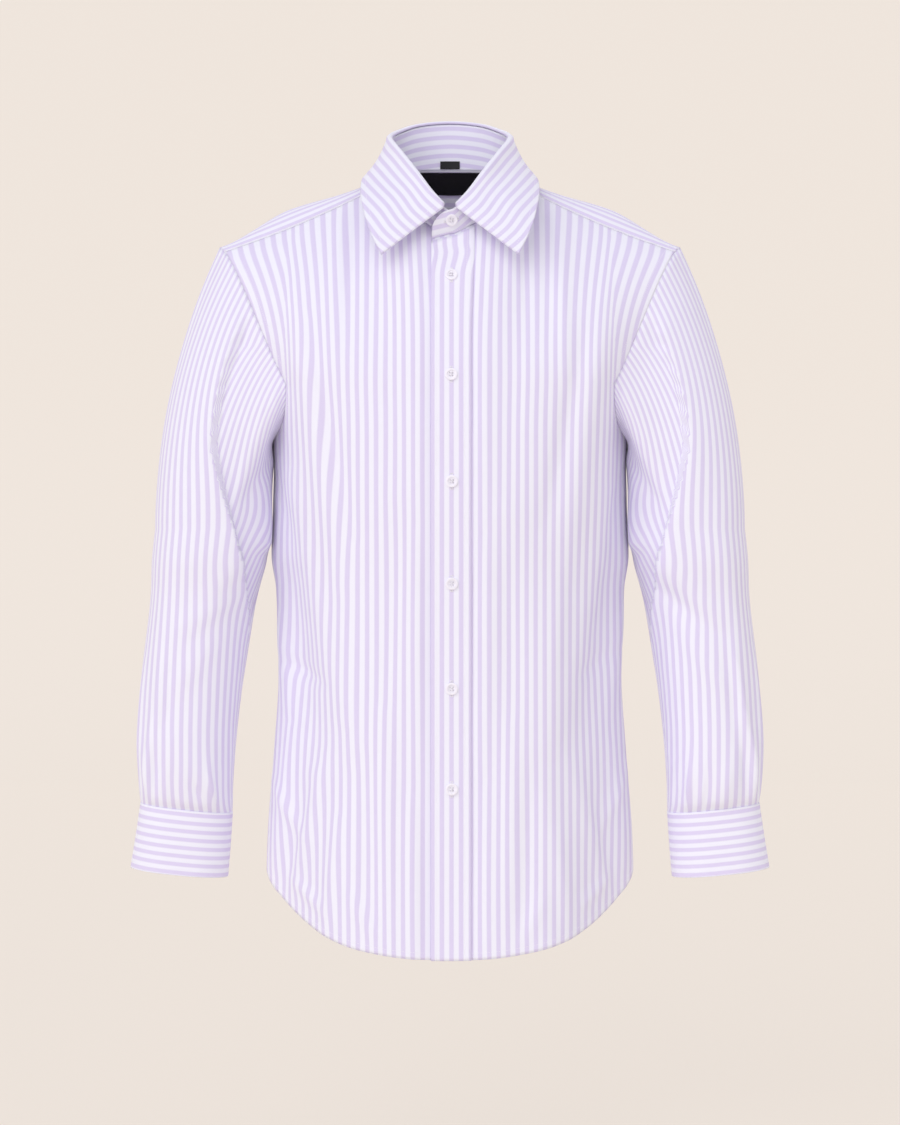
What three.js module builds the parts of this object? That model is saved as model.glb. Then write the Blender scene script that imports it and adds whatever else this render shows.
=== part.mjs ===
// A long sleeve dress shirt, worn and buttoned with no wearer inside.
// Millimetres, +Z up, +X to the wearer's left, -Y to the front.
// The origin is the middle of the neck at the height of the shoulder's highest point.
import * as THREE from 'three';

// Cloth
const panelWall = 1.5;
const collarWall = 2;
const seamGap = 0.3;
const layGap = 0.5;
const buttonGap = 0.8;
const layerStep = 3.3;
const seamReach = 1;
const foldedSeam = 0.25;

// Body, a row for each level: half width and side depth, then the front, its corner and the back
const bodySections = [
  { z: -207, width: 176, sideY: 0, front: 119, cornerX: 142, cornerY: 90, backX: 124, backY: 92, back: 111 },
  { z: -258, width: 172, sideY: 2, front: 123, cornerX: 138, cornerY: 88, backX: 118, backY: 88, back: 108 },
  { z: -320, width: 172.6, sideY: 4, front: 124, cornerX: 132, cornerY: 87, backX: 116, backY: 84, back: 104 },
  { z: -372, width: 174.2, sideY: 5, front: 122, cornerX: 116, cornerY: 92, backX: 114, backY: 80, back: 99 },
  { z: -400, width: 170, sideY: 6, front: 120, cornerX: 108, cornerY: 95, backX: 112, backY: 78, back: 97 },
  { z: -480, width: 167, sideY: 6, front: 117, cornerX: 94, cornerY: 102, backX: 108, backY: 78, back: 94 },
  { z: -560, width: 172, sideY: 6, front: 115, cornerX: 93, cornerY: 103, backX: 112, backY: 84, back: 100 },
  { z: -640, width: 178, sideY: 5, front: 114, cornerX: 96, cornerY: 103, backX: 116, backY: 92, back: 109 },
  { z: -720, width: 180, sideY: 4, front: 114, cornerX: 96, cornerY: 103, backX: 120, backY: 100, back: 117 },
  { z: -800, width: 181, sideY: 3, front: 115, cornerX: 96, cornerY: 104, backX: 122, backY: 104, back: 121 },
];
const underarmZ = -258;
const chestZ = -207;
const sideSeamHemZ = -673;
const frontHem = { z: -747, power: 2.15 };
const backHem = { z: -770, power: 2.3 };

// Where the armhole leaves the chest level, as a share of the half front and half back
const frontChestShare = 0.7;
const backChestShare = 0.72;

// Neck seam, from the middle of the front round the wearer's left to the middle of the back
const neckSeam = [[0, -76, -66], [20, -73, -57], [40, -62, -41], [59, -40, -25], [69, -14, -10],
  [68, 12, 2], [56, 38, 11], [32, 56, 16.5], [0, 62, 18]];
const neckFrontShare = 0.47;
const neckTabSlope = [1, 0.21, 0.28];
const frontNeckWidth = 0.41;
const yokeNeckWidth = 0.4;
const yokeTurn = 0.26;

// Shoulder: the yoke's front seam ends at the armhole, its back seam runs across the shoulder blades
const yokeFrontTip = [219, -16, -75];
const yokeSeamSag = [0, -3.5, -4.5];
const yokeBackTip = [209, 50, -94];
const yokeBackCentre = { y: 105, z: -84, power: 2.4 };

// The direction that the cloth runs at each corner of the upper panels, its length setting the curve
const frontRun = { chestMiddle: [0, 11, 140], chestEdge: [60, 10, 110], neckMiddle: [0, 67, 135],
  neckSide: [5, 125, 82], tip: [50, 120, 60] };
const backRun = { chestMiddle: [0, 7, 125], chestEdge: [25, 0, 110], seamMiddle: [0, -25, 122],
  seamEdge: [30, -45, 95] };
const yokeRun = { seamMiddle: [0, -22, 105], seamSide: [10, -20, 150], seamShoulder: [27, -30, 160],
  seamEdge: [45, -40, 75], neckMiddle: [0, -80, 55], neckTurn: [-75, -62, 22], neckSide: [-20, -118, -95],
  shoulder: [-30, -95, -135], tip: [-40, -45, -40] };
const yokeShoulder = 0.72;

// Centre front
const placketEdges = { left: -17.5, right: 19.5 };
const placketBelowNeck = 3;
const buttonStandEdge = 15;
const underStep = { from: -34, to: -21 };

// Collar: the stand's top edge and the leaf's outer edge, from the front to the middle of the back
const standTop = [[0, -82, -44], [13, -79, -33], [31, -61, -7], [45, -34, 15], [56, -2, 33.5],
  [57.5, 22, 43], [49, 44, 52], [32, 59, 60.5], [0, 68, 65]];
const standHeightRows = 4;
const tabRadius = 15;
const overEnd = 17;
const underEnd = 15;
const leafFoldStart = { distance: 6, seamLength: 235 };
const leafProfile = [
  { out: -0.6, up: 3 },
  { out: 1.6, up: 3.5 },
  { out: 3.8, up: 1.6 },
  { out: 4.4, up: -1.6 },
];
const leafFall = { out: 0.35, down: 0.9, straightShare: 0.16, rows: 6, columns: 18 };
const leafEdge = [[64, -109, -90], [76, -95, -64], [83, -70, -38], [86, -38, -17], [84, -4, 0],
  [75, 36, 5], [47, 71, 8], [0, 88, 9]];

// Sleeve, a row for each level: the middle, half width and half depth
const sleeveSections = [
  { z: -345, x: 232, y: -9, width: 54.5, depth: 62, fall: 0 },
  { z: -375, x: 234.5, y: -10, width: 55, depth: 61, fall: 0 },
  { z: -414, x: 241, y: -5, width: 51, depth: 59, fall: 0 },
  { z: -473, x: 249, y: -8, width: 49.5, depth: 54, fall: 0 },
  { z: -512, x: 253.6, y: -10, width: 48.5, depth: 51, fall: 0 },
  { z: -551, x: 256.5, y: -12, width: 47.3, depth: 49, fall: 1 },
  { z: -585, x: 257, y: -14, width: 45.5, depth: 45, fall: 3 },
  { z: -606, x: 256.4, y: -15, width: 44.6, depth: 38, fall: 4.4 },
  { z: -613.2, x: 256.2, y: -15, width: 44, depth: 31, fall: 4.7 },
];
const sleeveLift = { underarm: 16, top: 40, middle: 50, hang: 0.9 };
const ringPower = 2.2;

// Cuff: its rings at the top and the bottom, and the lap behind the outer side in degrees
const cuffSections = [
  { z: -614.7, x: 256.2, y: -15, width: 44, depth: 31, fall: 4.7 },
  { z: -677, x: 263, y: -16, width: 46.5, depth: 32, fall: 4.6 },
];
const cuffLap = { start: 214, over: 26, ease: 20, step: 2.7 };

// Sleeve placket: the pointed strip over the cuff's lap, in degrees round the arm and levels down it
const sleevePlacket = { from: 206, to: 238, tip: -462, tipWidth: 0.12, shoulder: -476,
  levels: [-512, -551, -576, -594, -606] };

// Buttons and trim
const button = { radius: 5.7, thickness: 2.6, edge: 0.6, rim: 0.7, dish: 2.2, dishDepth: 0.9, segments: 16 };
const frontButtonX = 1.6;
const frontButtonZ = [-107.6, -202.7, -302, -396.5, -494, -587.4];
const collarButton = { row: 2.2, column: 4.06 };
const cuffButton = { row: 1.5, column: 28.9 };
const neckLabel = { halfWidth: 32, fromSeam: 2, toSeam: 28, wall: 1 };
const sizeTab = { halfWidth: 10, rows: [0.1, 0.85], wall: 1 };

// How finely each panel is drawn
const rowCounts = { low: 11, scoop: 4, high: 6, yoke: 6, cap: 8, cuff: 3 };
const columnCounts = { frontNeck: 7, frontShoulder: 7, back: 11, yokeShoulder: 6, tab: 3, cuff: 30,
  placket: 4 };
const armLevels = [-375, -414, -473, -512, -551, -576, -594, -606, -613.2];

const lerp = (a, b, t) => a + (b - a) * t;
const point = (values) => new THREE.Vector3(...values);
const mirrorX = (p) => new THREE.Vector3(-p.x, p.y, p.z);
const smooth = (t) => {
  const s = THREE.MathUtils.clamp(t, 0, 1);
  return s * s * (3 - 2 * s);
};

function material(name, color, roughness) {
  return new THREE.MeshStandardMaterial({ name, color, roughness, metalness: 0 });
}

const stripedCotton = material('striped cotton', '#ebe3f7', 0.85);
const buttonResin = material('button resin', '#f4f1fa', 0.35);
const labelSatin = material('label satin', '#17161a', 0.6);

const shirt = new THREE.Group();

function addMesh(name, geometry, meshMaterial) {
  const mesh = new THREE.Mesh(geometry, meshMaterial);
  mesh.name = name;
  shirt.add(mesh);
  return mesh;
}

// One stretch of a curve, read by its length from 0 to 1
function stretchOf(curve, from, to) {
  const steps = 160;
  const marks = [0];
  let last = curve.getPoint(from);
  for (let i = 1; i <= steps; i += 1) {
    const next = curve.getPoint(lerp(from, to, i / steps));
    marks.push(marks[i - 1] + next.distanceTo(last));
    last = next;
  }
  return (share) => {
    const target = THREE.MathUtils.clamp(share, 0, 1) * marks[steps];
    let i = 1;
    while (i < steps && marks[i] < target) i += 1;
    const part = (target - marks[i - 1]) / (marks[i] - marks[i - 1]);
    return curve.getPoint(lerp(from, to, (i - 1 + part) / steps));
  };
}

// A loop that is the same on both sides, from its points on one side
function symmetricLoop(halfPoints) {
  const others = halfPoints.slice(1, -1).reverse().map(mirrorX);
  return new THREE.CatmullRomCurve3([...halfPoints, ...others], true, 'centripetal');
}

// A table's row at a level, eased between its neighbours
function rowAt(table, z) {
  let i = 0;
  while (i < table.length - 2 && z < table[i + 1].z) i += 1;
  const rows = [table[Math.max(i - 1, 0)], table[i], table[i + 1], table[Math.min(i + 2, table.length - 1)]];
  const t = THREE.MathUtils.clamp((rows[1].z - z) / (rows[1].z - rows[2].z), 0, 1);
  const row = {};
  for (const key of Object.keys(table[0])) {
    const slopeIn = (rows[2][key] - rows[0][key]) / 2;
    const slopeOut = (rows[3][key] - rows[1][key]) / 2;
    row[key] = hermite(rows[1][key], slopeIn, rows[2][key], slopeOut, t);
  }
  return row;
}

function hermite(a, slopeA, b, slopeB, t) {
  const t2 = t * t;
  const t3 = t2 * t;
  return a * (2 * t3 - 3 * t2 + 1) + slopeA * (t3 - 2 * t2 + t) + b * (3 * t2 - 2 * t3) + slopeB * (t3 - t2);
}

function hermitePoint(a, slopeA, b, slopeB, t) {
  return new THREE.Vector3(
    hermite(a.x, slopeA.x, b.x, slopeB.x, t),
    hermite(a.y, slopeA.y, b.y, slopeB.y, t),
    hermite(a.z, slopeA.z, b.z, slopeB.z, t),
  );
}

// Body sections: the middle of the front, its soft corner, the side seam and the back
const sectionCache = new Map();

function bodySection(z) {
  const key = z.toFixed(3);
  if (!sectionCache.has(key)) {
    const row = rowAt(bodySections, z);
    const frontEase = (row.front - row.cornerY) * 0.16;
    const backEase = (row.back - row.backY) * 0.16;
    const half = [
      [0, -row.front, z],
      [row.cornerX * 0.5, frontEase - row.front, z],
      [row.cornerX, -row.cornerY, z],
      [lerp(row.cornerX, row.width, 0.64), lerp(-row.cornerY, row.sideY, 0.48), z],
      [row.width, row.sideY, z],
      [row.backX, row.backY, z],
      [row.backX * 0.5, row.back - backEase, z],
      [0, row.back, z],
    ].map(point);
    const loop = symmetricLoop(half);
    const side = 4 / loop.points.length;
    sectionCache.set(key, { front: stretchOf(loop, 0, side), back: stretchOf(loop, 0.5, side) });
  }
  return sectionCache.get(key);
}

const frontHemZ = (share) => lerp(frontHem.z, sideSeamHemZ, share ** frontHem.power);
const backHemZ = (share) => lerp(backHem.z, sideSeamHemZ, share ** backHem.power);

const neckLoop = symmetricLoop(neckSeam.map(point));
const neckAt = stretchOf(neckLoop, 0, 0.5);
const neckSide = neckAt(neckFrontShare);

// A blend of named directions: middle, side and edge, at a share of the width
function blendRun(stations, share) {
  let i = 0;
  while (i < stations.length - 2 && share > stations[i + 1].at) i += 1;
  const [a, b] = [stations[i], stations[i + 1]];
  return point(a.run).lerp(point(b.run), smooth((share - a.at) / (b.at - a.at)));
}

// The yoke's front seam, from the neck to the armhole, hangs a little in its middle
function shoulderSeam(share) {
  const straight = neckSide.clone().lerp(point(yokeFrontTip), share);
  return straight.addScaledVector(point(yokeSeamSag), Math.sin(share * Math.PI));
}

// Rows of the front's top edge: the neck seam, then the yoke's front seam
function frontTop(share) {
  if (share <= frontNeckWidth) return neckAt((share / frontNeckWidth) * neckFrontShare);
  return shoulderSeam((share - frontNeckWidth) / (1 - frontNeckWidth));
}

function yokeSeam(share) {
  const y = lerp(yokeBackTip[1], yokeBackCentre.y, 1 - share ** yokeBackCentre.power);
  const z = lerp(yokeBackCentre.z, yokeBackTip[2], share * share);
  return new THREE.Vector3(yokeBackTip[0] * share, y, z);
}

// One side of the front or the back, a row for each level from the hem to its top edge
function bodyRows(half, columns, hemZ, chestShare, topAt, runAt) {
  const rows = [];
  for (let i = 0; i <= rowCounts.low; i += 1) {
    rows.push(columns.map((u) => {
      const z = lerp(hemZ(u), underarmZ, i / rowCounts.low);
      return bodySection(z)[half](u);
    }));
  }
  for (let i = 1; i <= rowCounts.scoop; i += 1) {
    const t = i / rowCounts.scoop;
    const z = lerp(underarmZ, chestZ, t ** 1.6);
    const edge = lerp(1, chestShare, Math.sin((t * Math.PI) / 2));
    rows.push(columns.map((u) => bodySection(z)[half](u * edge)));
  }
  const chest = rows[rows.length - 1];
  for (let i = 1; i <= rowCounts.high; i += 1) {
    const t = i / rowCounts.high;
    rows.push(columns.map((u, j) => {
      const run = runAt(u);
      return hermitePoint(chest[j], run.chest, topAt(u), run.top, t);
    }));
  }
  return rows;
}

const shares = (count) => Array.from({ length: count + 1 }, (_, i) => i / count);

// Shares of a width with one number of columns up to a turning point and another after it
const splitShares = (turn, before, after) => [...shares(before).map((t) => t * turn),
  ...shares(after).slice(1).map((t) => lerp(turn, 1, t))];

// The neck has the same stations on the fronts, the yoke and the stand
const neckStations = columnCounts.frontNeck;
const frontColumns = splitShares(frontNeckWidth, neckStations, columnCounts.frontShoulder);
const backColumns = shares(columnCounts.back);

const frontRows = bodyRows('front', frontColumns, frontHemZ, frontChestShare, frontTop, (u) => ({
  chest: point(frontRun.chestMiddle).lerp(point(frontRun.chestEdge), u * u),
  top: blendRun([{ at: 0, run: frontRun.neckMiddle }, { at: frontNeckWidth, run: frontRun.neckSide },
    { at: 1, run: frontRun.tip }], u),
}));

const backHalfRows = bodyRows('back', backColumns, backHemZ, backChestShare, yokeSeam, (u) => ({
  chest: point(backRun.chestMiddle).lerp(point(backRun.chestEdge), u * u),
  top: point(backRun.seamMiddle).lerp(point(backRun.seamEdge), u * u),
}));

// The yoke's half, from the back seam over the shoulder to the neck and the front seam
function yokeTop(share) {
  if (share <= yokeNeckWidth) return neckAt(lerp(1, neckFrontShare, share / yokeNeckWidth));
  return shoulderSeam((share - yokeNeckWidth) / (1 - yokeNeckWidth));
}

const yokeSeamStations = [
  { at: 0, run: yokeRun.seamMiddle },
  { at: yokeNeckWidth, run: yokeRun.seamSide },
  { at: yokeShoulder, run: yokeRun.seamShoulder },
  { at: 1, run: yokeRun.seamEdge },
];
const yokeTopStations = [
  { at: 0, run: yokeRun.neckMiddle },
  { at: yokeTurn, run: yokeRun.neckTurn },
  { at: yokeNeckWidth, run: yokeRun.neckSide },
  { at: yokeShoulder, run: yokeRun.shoulder },
  { at: 1, run: yokeRun.tip },
];

function yokeHalfRows(columns) {
  return shares(rowCounts.yoke).map((t) => columns.map((u) => {
    const seamRun = blendRun(yokeSeamStations, u);
    const topRun = blendRun(yokeTopStations, u);
    return hermitePoint(yokeSeam(u), seamRun, yokeTop(u), topRun, t);
  }));
}

const mirrorRows = (rows) => rows.map((row) => row.map(mirrorX));

// Half rows and their mirror image joined at the middle, from the wearer's right to left
function wholeRows(halfRows) {
  return halfRows.map((row) => [...row.slice(1).reverse().map(mirrorX), ...row]);
}

// Columns past the middle of the front, level with it, with the neck's end sloped
function tabRows(rows, reaches, slope) {
  return rows.map((row, i) => {
    const middle = row[0];
    const high = smooth((i - rows.length + 4) / 3);
    const tab = reaches.map((reach) => middle.clone().add(
      new THREE.Vector3(reach, reach * slope[1] * high, reach * slope[2] * high),
    ));
    return [...tab, ...row];
  });
}

// The under layer steps back behind the placket
const underShare = (x) => smooth((x - underStep.from) / (underStep.to - underStep.from));

function stepBack(rows) {
  return rows.map((row) => row.map((p) => {
    return new THREE.Vector3(p.x, p.y + layerStep * underShare(p.x), p.z);
  }));
}

const tabShares = shares(columnCounts.tab).slice(0, -1);
const leftTab = tabShares.map((t) => lerp(placketEdges.left, 0, t));
const rightTab = tabShares.map((t) => lerp(buttonStandEdge, 0, t));

const panels = {
  front_left: tabRows(frontRows, leftTab, neckTabSlope),
  front_right: stepBack(tabRows(mirrorRows(frontRows), rightTab, neckTabSlope)),
  back: wholeRows(backHalfRows),
  yoke: wholeRows(yokeHalfRows(splitShares(yokeNeckWidth, neckStations, columnCounts.yokeShoulder))),
};

// Sleeve: the armhole's loop from the underarm round the front, the shoulder and the back
const frontEdge = frontRows.slice(rowCounts.low).map((row) => row[row.length - 1]);
const yokeEdge = panels.yoke.map((row) => row[row.length - 1]).reverse();
const backEdge = backHalfRows.slice(rowCounts.low).map((row) => row[row.length - 1]).reverse();
const armhole = [...frontEdge, ...yokeEdge.slice(1), ...backEdge.slice(1, -1)];

function ringPoint(row, angle, swell = 0) {
  const c = Math.cos(angle);
  const s = Math.sin(angle);
  const across = Math.sign(c) * Math.abs(c) ** (2 / ringPower);
  const deep = Math.sign(s) * Math.abs(s) ** (2 / ringPower);
  return new THREE.Vector3(
    row.x - (row.width + swell) * across,
    row.y - (row.depth + swell) * deep,
    row.z - row.fall * across,
  );
}

// Each armhole point's angle round the arm: 0 at the underarm, half a turn at the shoulder
function armholeAngles() {
  const top = frontEdge.length - 1 + Math.round(rowCounts.yoke / 2);
  const marks = [0];
  for (let i = 1; i <= armhole.length; i += 1) {
    marks.push(marks[i - 1] + armhole[i % armhole.length].distanceTo(armhole[i - 1]));
  }
  return armhole.map((p, i) => {
    if (i <= top) return (Math.PI * marks[i]) / marks[top];
    return Math.PI * (1 + (marks[i] - marks[top]) / (marks[armhole.length] - marks[top]));
  });
}

const sleeveAngles = armholeAngles();

// How far the sleeve's cap stands out from the armhole
function capLift(angle) {
  const { underarm, top, middle } = sleeveLift;
  return underarm + top * Math.abs(Math.sin(angle / 2)) + middle * Math.abs(Math.sin(angle));
}

function sleeveRows() {
  const start = sleeveSections[0];
  const ends = sleeveAngles.map((angle) => ringPoint(start, angle));
  const rows = shares(rowCounts.cap).map((t) => armhole.map((from, i) => {
    const run = ends[i].clone().sub(from);
    const hang = new THREE.Vector3(0, 0, -sleeveLift.hang * run.length());
    run.x += capLift(sleeveAngles[i]);
    return hermitePoint(from, run, ends[i], hang, t);
  }));
  for (const z of armLevels) {
    const row = rowAt(sleeveSections, z);
    rows.push(sleeveAngles.map((angle) => ringPoint(row, angle)));
  }
  return rows;
}

panels.sleeve_left = sleeveRows();
panels.sleeve_right = mirrorRows(panels.sleeve_left);

// Collar stand: from the over end past the middle, round the back, to the under end
const standLoopTop = stretchOf(symmetricLoop(standTop.map(point)), 0, 0.5);

const standTabShares = [0, 0.08, 0.24, 0.55];

// The stand's rounded ends run on past the middle of the front
function standTab(end, under) {
  return standTabShares.map((t) => {
    const reach = lerp(end, 0, t);
    const slope = point(neckTabSlope).multiplyScalar(reach);
    const toEnd = Math.abs(end - reach);
    return { bottom: neckAt(0).add(slope), top: standLoopTop(0).add(slope), toEnd, under };
  });
}

function standStations() {
  const left = splitShares(neckFrontShare, neckStations, neckStations).map((t) => (
    { bottom: neckAt(t), top: standLoopTop(t), toEnd: Infinity, under: 0 }));
  const right = left.slice(0, -1).reverse().map((station) => {
    const bottom = mirrorX(station.bottom);
    const under = bottom.y < 0 ? underShare(bottom.x) : 0;
    return { bottom, top: mirrorX(station.top), toEnd: Infinity, under };
  });
  return [...standTab(-overEnd, 0), ...left, ...right, ...standTab(underEnd, 1).reverse()];
}

// How far the rounded end is drawn down from the stand's top edge
function cornerDrop(toEnd) {
  const inside = Math.max(tabRadius - toEnd, 0);
  return tabRadius - Math.sqrt(tabRadius ** 2 - inside ** 2);
}

function standRows() {
  const stations = standStations();
  return shares(standHeightRows).map((v) => stations.map((station) => {
    const { bottom, top, toEnd, under } = station;
    const share = v * (1 - cornerDrop(toEnd) / bottom.distanceTo(top));
    const p = bottom.clone().lerp(top, share);
    p.y += under * layerStep;
    return p;
  }));
}

panels.collar_stand = standRows();

// Collar leaf: it caps the stand's top edge, turns over and falls outside
const leafCurve = (() => {
  const left = leafEdge.map(point);
  const right = left.slice(0, -1).reverse().map(mirrorX);
  const curve = new THREE.CatmullRomCurve3([...left, ...right], false, 'centripetal');
  return stretchOf(curve, 0, 0.5);
})();

function leafHalfColumns(u) {
  const share = lerp(leafFoldStart.distance / leafFoldStart.seamLength, 1, u);
  const top = standLoopTop(share);
  const nearby = 0.01;
  const ahead = standLoopTop(Math.min(share + nearby, 1)).sub(standLoopTop(share - nearby));
  const out = new THREE.Vector3(ahead.y, -ahead.x, 0).normalize();
  const column = leafProfile.map((step) => new THREE.Vector3(
    top.x + out.x * step.out,
    top.y + out.y * step.out,
    top.z + step.up,
  ));
  const start = column[column.length - 1];
  const edge = leafCurve(u);
  const span = edge.clone().sub(start);
  const length = span.length();
  const startRun = out.clone().multiplyScalar(leafFall.out * length);
  startRun.z -= leafFall.down * length;
  startRun.lerp(span, smooth(1 - u / leafFall.straightShare));
  for (let i = 1; i <= leafFall.rows; i += 1) {
    column.push(hermitePoint(start, startRun, edge, span, i / leafFall.rows));
  }
  return column;
}

function leafRows() {
  const half = shares(leafFall.columns).map(leafHalfColumns);
  const columns = [...half, ...half.slice(0, -1).reverse().map((column) => column.map(mirrorX))];
  return columns[0].map((_, i) => columns.map((column) => column[i]));
}

panels.collar_leaf = leafRows();

// Cuff: a band whose over end laps its start
function cuffRows() {
  const turn = 360 + cuffLap.over;
  const angles = shares(columnCounts.cuff).map((t) => t * turn);
  const [first, last] = cuffSections;
  return shares(rowCounts.cuff).map((v) => {
    const row = {};
    for (const key of Object.keys(first)) row[key] = lerp(first[key], last[key], v);
    return angles.map((angle) => {
      const swell = cuffLap.step * smooth((angle - 360 + cuffLap.ease) / cuffLap.ease);
      return ringPoint(row, THREE.MathUtils.degToRad(cuffLap.start + angle), swell);
    });
  });
}

panels.cuff_left = cuffRows();
panels.cuff_right = mirrorRows(panels.cuff_left);

// Surface normals of a panel, facing away from the hollow inside it
const tubes = new Set(['sleeve_left', 'sleeve_right']);

function hollowCentre(name, p) {
  if (name.startsWith('sleeve') || name.startsWith('cuff')) {
    const row = rowAt(sleeveSections, p.z);
    return new THREE.Vector3(name.endsWith('left') ? row.x : -row.x, row.y, p.z);
  }
  return new THREE.Vector3(0, 0, p.z - 60);
}

function normalsOf(name, rows) {
  const columnCount = rows[0].length;
  const column = (j) => (tubes.has(name) ? (j + columnCount) % columnCount
    : THREE.MathUtils.clamp(j, 0, columnCount - 1));
  const level = (i) => THREE.MathUtils.clamp(i, 0, rows.length - 1);
  const normals = rows.map((row, i) => row.map((_, j) => {
    const across = row[column(j + 1)].clone().sub(row[column(j - 1)]);
    const up = rows[level(i + 1)][j].clone().sub(rows[level(i - 1)][j]);
    return across.cross(up).normalize();
  }));
  const i = Math.floor(rows.length / 2);
  const j = Math.floor(columnCount / 2);
  const outward = rows[i][j].clone().sub(hollowCentre(name, rows[i][j]));
  const sign = Math.sign(normals[i][j].dot(outward));
  return normals.map((row) => row.map((n) => n.multiplyScalar(sign)));
}

const normals = {};
for (const [name, rows] of Object.entries(panels)) normals[name] = normalsOf(name, rows);

// Seams: which panels meet along an edge
const seams = {
  front_left: ['back', 'yoke', 'sleeve_left', 'collar_stand'],
  front_right: ['back', 'yoke', 'sleeve_right', 'collar_stand'],
  back: ['front_left', 'front_right', 'yoke', 'sleeve_left', 'sleeve_right'],
  yoke: ['front_left', 'front_right', 'back', 'sleeve_left', 'sleeve_right', 'collar_stand'],
  sleeve_left: ['front_left', 'back', 'yoke'],
  sleeve_right: ['front_right', 'back', 'yoke'],
  collar_stand: ['front_left', 'front_right', 'yoke'],
};
function edgeIndexes(name) {
  const rows = panels[name];
  const last = rows.length - 1;
  const end = rows[0].length - 1;
  const bottom = rows[0].map((_, j) => [0, j]);
  const top = rows[0].map((_, j) => [last, j]);
  if (tubes.has(name)) return [[...bottom, [0, 0]]];
  const left = rows.map((_, i) => [i, 0]);
  const right = rows.map((_, i) => [i, end]);
  return [bottom, right, top, left];
}

// The neighbour's normal where an edge point meets its edge, if it does
function neighbourNormal(neighbour, p) {
  let best = null;
  let nearest = seamReach;
  for (const edge of edgeIndexes(neighbour)) {
    for (let k = 1; k < edge.length; k += 1) {
      const [a, b] = [edge[k - 1], edge[k]];
      const line = new THREE.Line3(panels[neighbour][a[0]][a[1]], panels[neighbour][b[0]][b[1]]);
      const t = line.closestPointToPointParameter(p, true);
      const away = line.at(t, new THREE.Vector3()).distanceTo(p);
      if (away < nearest) {
        nearest = away;
        best = normals[neighbour][a[0]][a[1]].clone().lerp(normals[neighbour][b[0]][b[1]], t).normalize();
      }
    }
  }
  return best;
}

// The step from an edge point into its panel, square to the edge
function inwardStep(rows, i, j, inner, along) {
  const step = inner.clone().sub(rows[i][j]);
  step.addScaledVector(along, -step.dot(along) / along.lengthSq());
  return step.normalize().multiplyScalar(seamGap / 2);
}

function seamStep(name, i, j) {
  const rows = panels[name];
  const last = rows.length - 1;
  const end = rows[0].length - 1;
  const step = new THREE.Vector3();
  const rowAlong = () => rows[i][Math.min(j + 1, end)].clone().sub(rows[i][Math.max(j - 1, 0)]);
  const columnAlong = () => rows[Math.min(i + 1, last)][j].clone().sub(rows[Math.max(i - 1, 0)][j]);
  if (i === 0) step.add(inwardStep(rows, i, j, rows[1][j], rowAlong()));
  if (i === last) step.add(inwardStep(rows, i, j, rows[last - 1][j], rowAlong()));
  if (tubes.has(name)) return step;
  if (j === 0) step.add(inwardStep(rows, i, j, rows[i][1], columnAlong()));
  if (j === end) step.add(inwardStep(rows, i, j, rows[i][end - 1], columnAlong()));
  return step;
}

// The normals of the panels that an edge point is sewn to
function neighbourNormals(name, p) {
  const others = seams[name] ?? [];
  return others.map((other) => neighbourNormal(other, p)).filter(Boolean);
}

// Edge points drawn back from the seam, with the seam's shared mitre as their direction
function seamedPanel(name) {
  const rows = panels[name].map((row) => row.map((p) => p.clone()));
  const mitres = normals[name].map((row) => row.map((n) => n.clone()));
  for (const edge of edgeIndexes(name)) {
    for (const [i, j] of edge) {
      const own = normals[name][i][j];
      const met = neighbourNormals(name, panels[name][i][j]);
      const folded = met.find((n) => n.dot(own) < foldedSeam);
      const joined = met.filter((n) => n.dot(own) >= foldedSeam);
      if (folded && name.startsWith('sleeve')) {
        const lap = (panelWall * (1 - folded.dot(own))) / 2 + panelWall * 0.5 + seamGap;
        rows[i][j] = panels[name][i][j].clone().addScaledVector(folded, lap);
      } else if (joined.length) {
        const mitre = joined.reduce((sum, n) => sum.add(n), own.clone()).normalize();
        mitres[i][j] = mitre.clone().divideScalar(Math.max(mitre.dot(own), 0.5));
        rows[i][j] = panels[name][i][j].clone().add(seamStep(name, i, j));
      }
    }
  }
  return { rows, mitres };
}

// A closed wall round a grid of points, half its thickness to each side
function wallGeometry(rows, directions, thickness, isTube) {
  const columnCount = rows[0].length;
  const positions = [];
  for (const side of [0.5, -0.5]) {
    rows.forEach((row, i) => row.forEach((p, j) => {
      positions.push(...p.clone().addScaledVector(directions[i][j], side * thickness).toArray());
    }));
  }
  const sheet = rows.length * columnCount;
  const at = (i, j, side) => side * sheet + i * columnCount + (j % columnCount);
  const index = [];
  const quad = (a, b, c, d) => index.push(a, b, c, a, c, d);
  const columns = isTube ? columnCount : columnCount - 1;
  for (let i = 0; i < rows.length - 1; i += 1) {
    for (let j = 0; j < columns; j += 1) {
      quad(at(i, j, 0), at(i, j + 1, 0), at(i + 1, j + 1, 0), at(i + 1, j, 0));
      quad(at(i + 1, j, 1), at(i + 1, j + 1, 1), at(i, j + 1, 1), at(i, j, 1));
    }
  }
  for (let j = 0; j < columns; j += 1) {
    const last = rows.length - 1;
    quad(at(0, j, 1), at(0, j + 1, 1), at(0, j + 1, 0), at(0, j, 0));
    quad(at(last, j, 0), at(last, j + 1, 0), at(last, j + 1, 1), at(last, j, 1));
  }
  if (!isTube) {
    const end = columnCount - 1;
    for (let i = 0; i < rows.length - 1; i += 1) {
      quad(at(i, 0, 0), at(i + 1, 0, 0), at(i + 1, 0, 1), at(i, 0, 1));
      quad(at(i, end, 1), at(i + 1, end, 1), at(i + 1, end, 0), at(i, end, 0));
    }
  }
  return outwardGeometry(positions, index);
}

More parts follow.
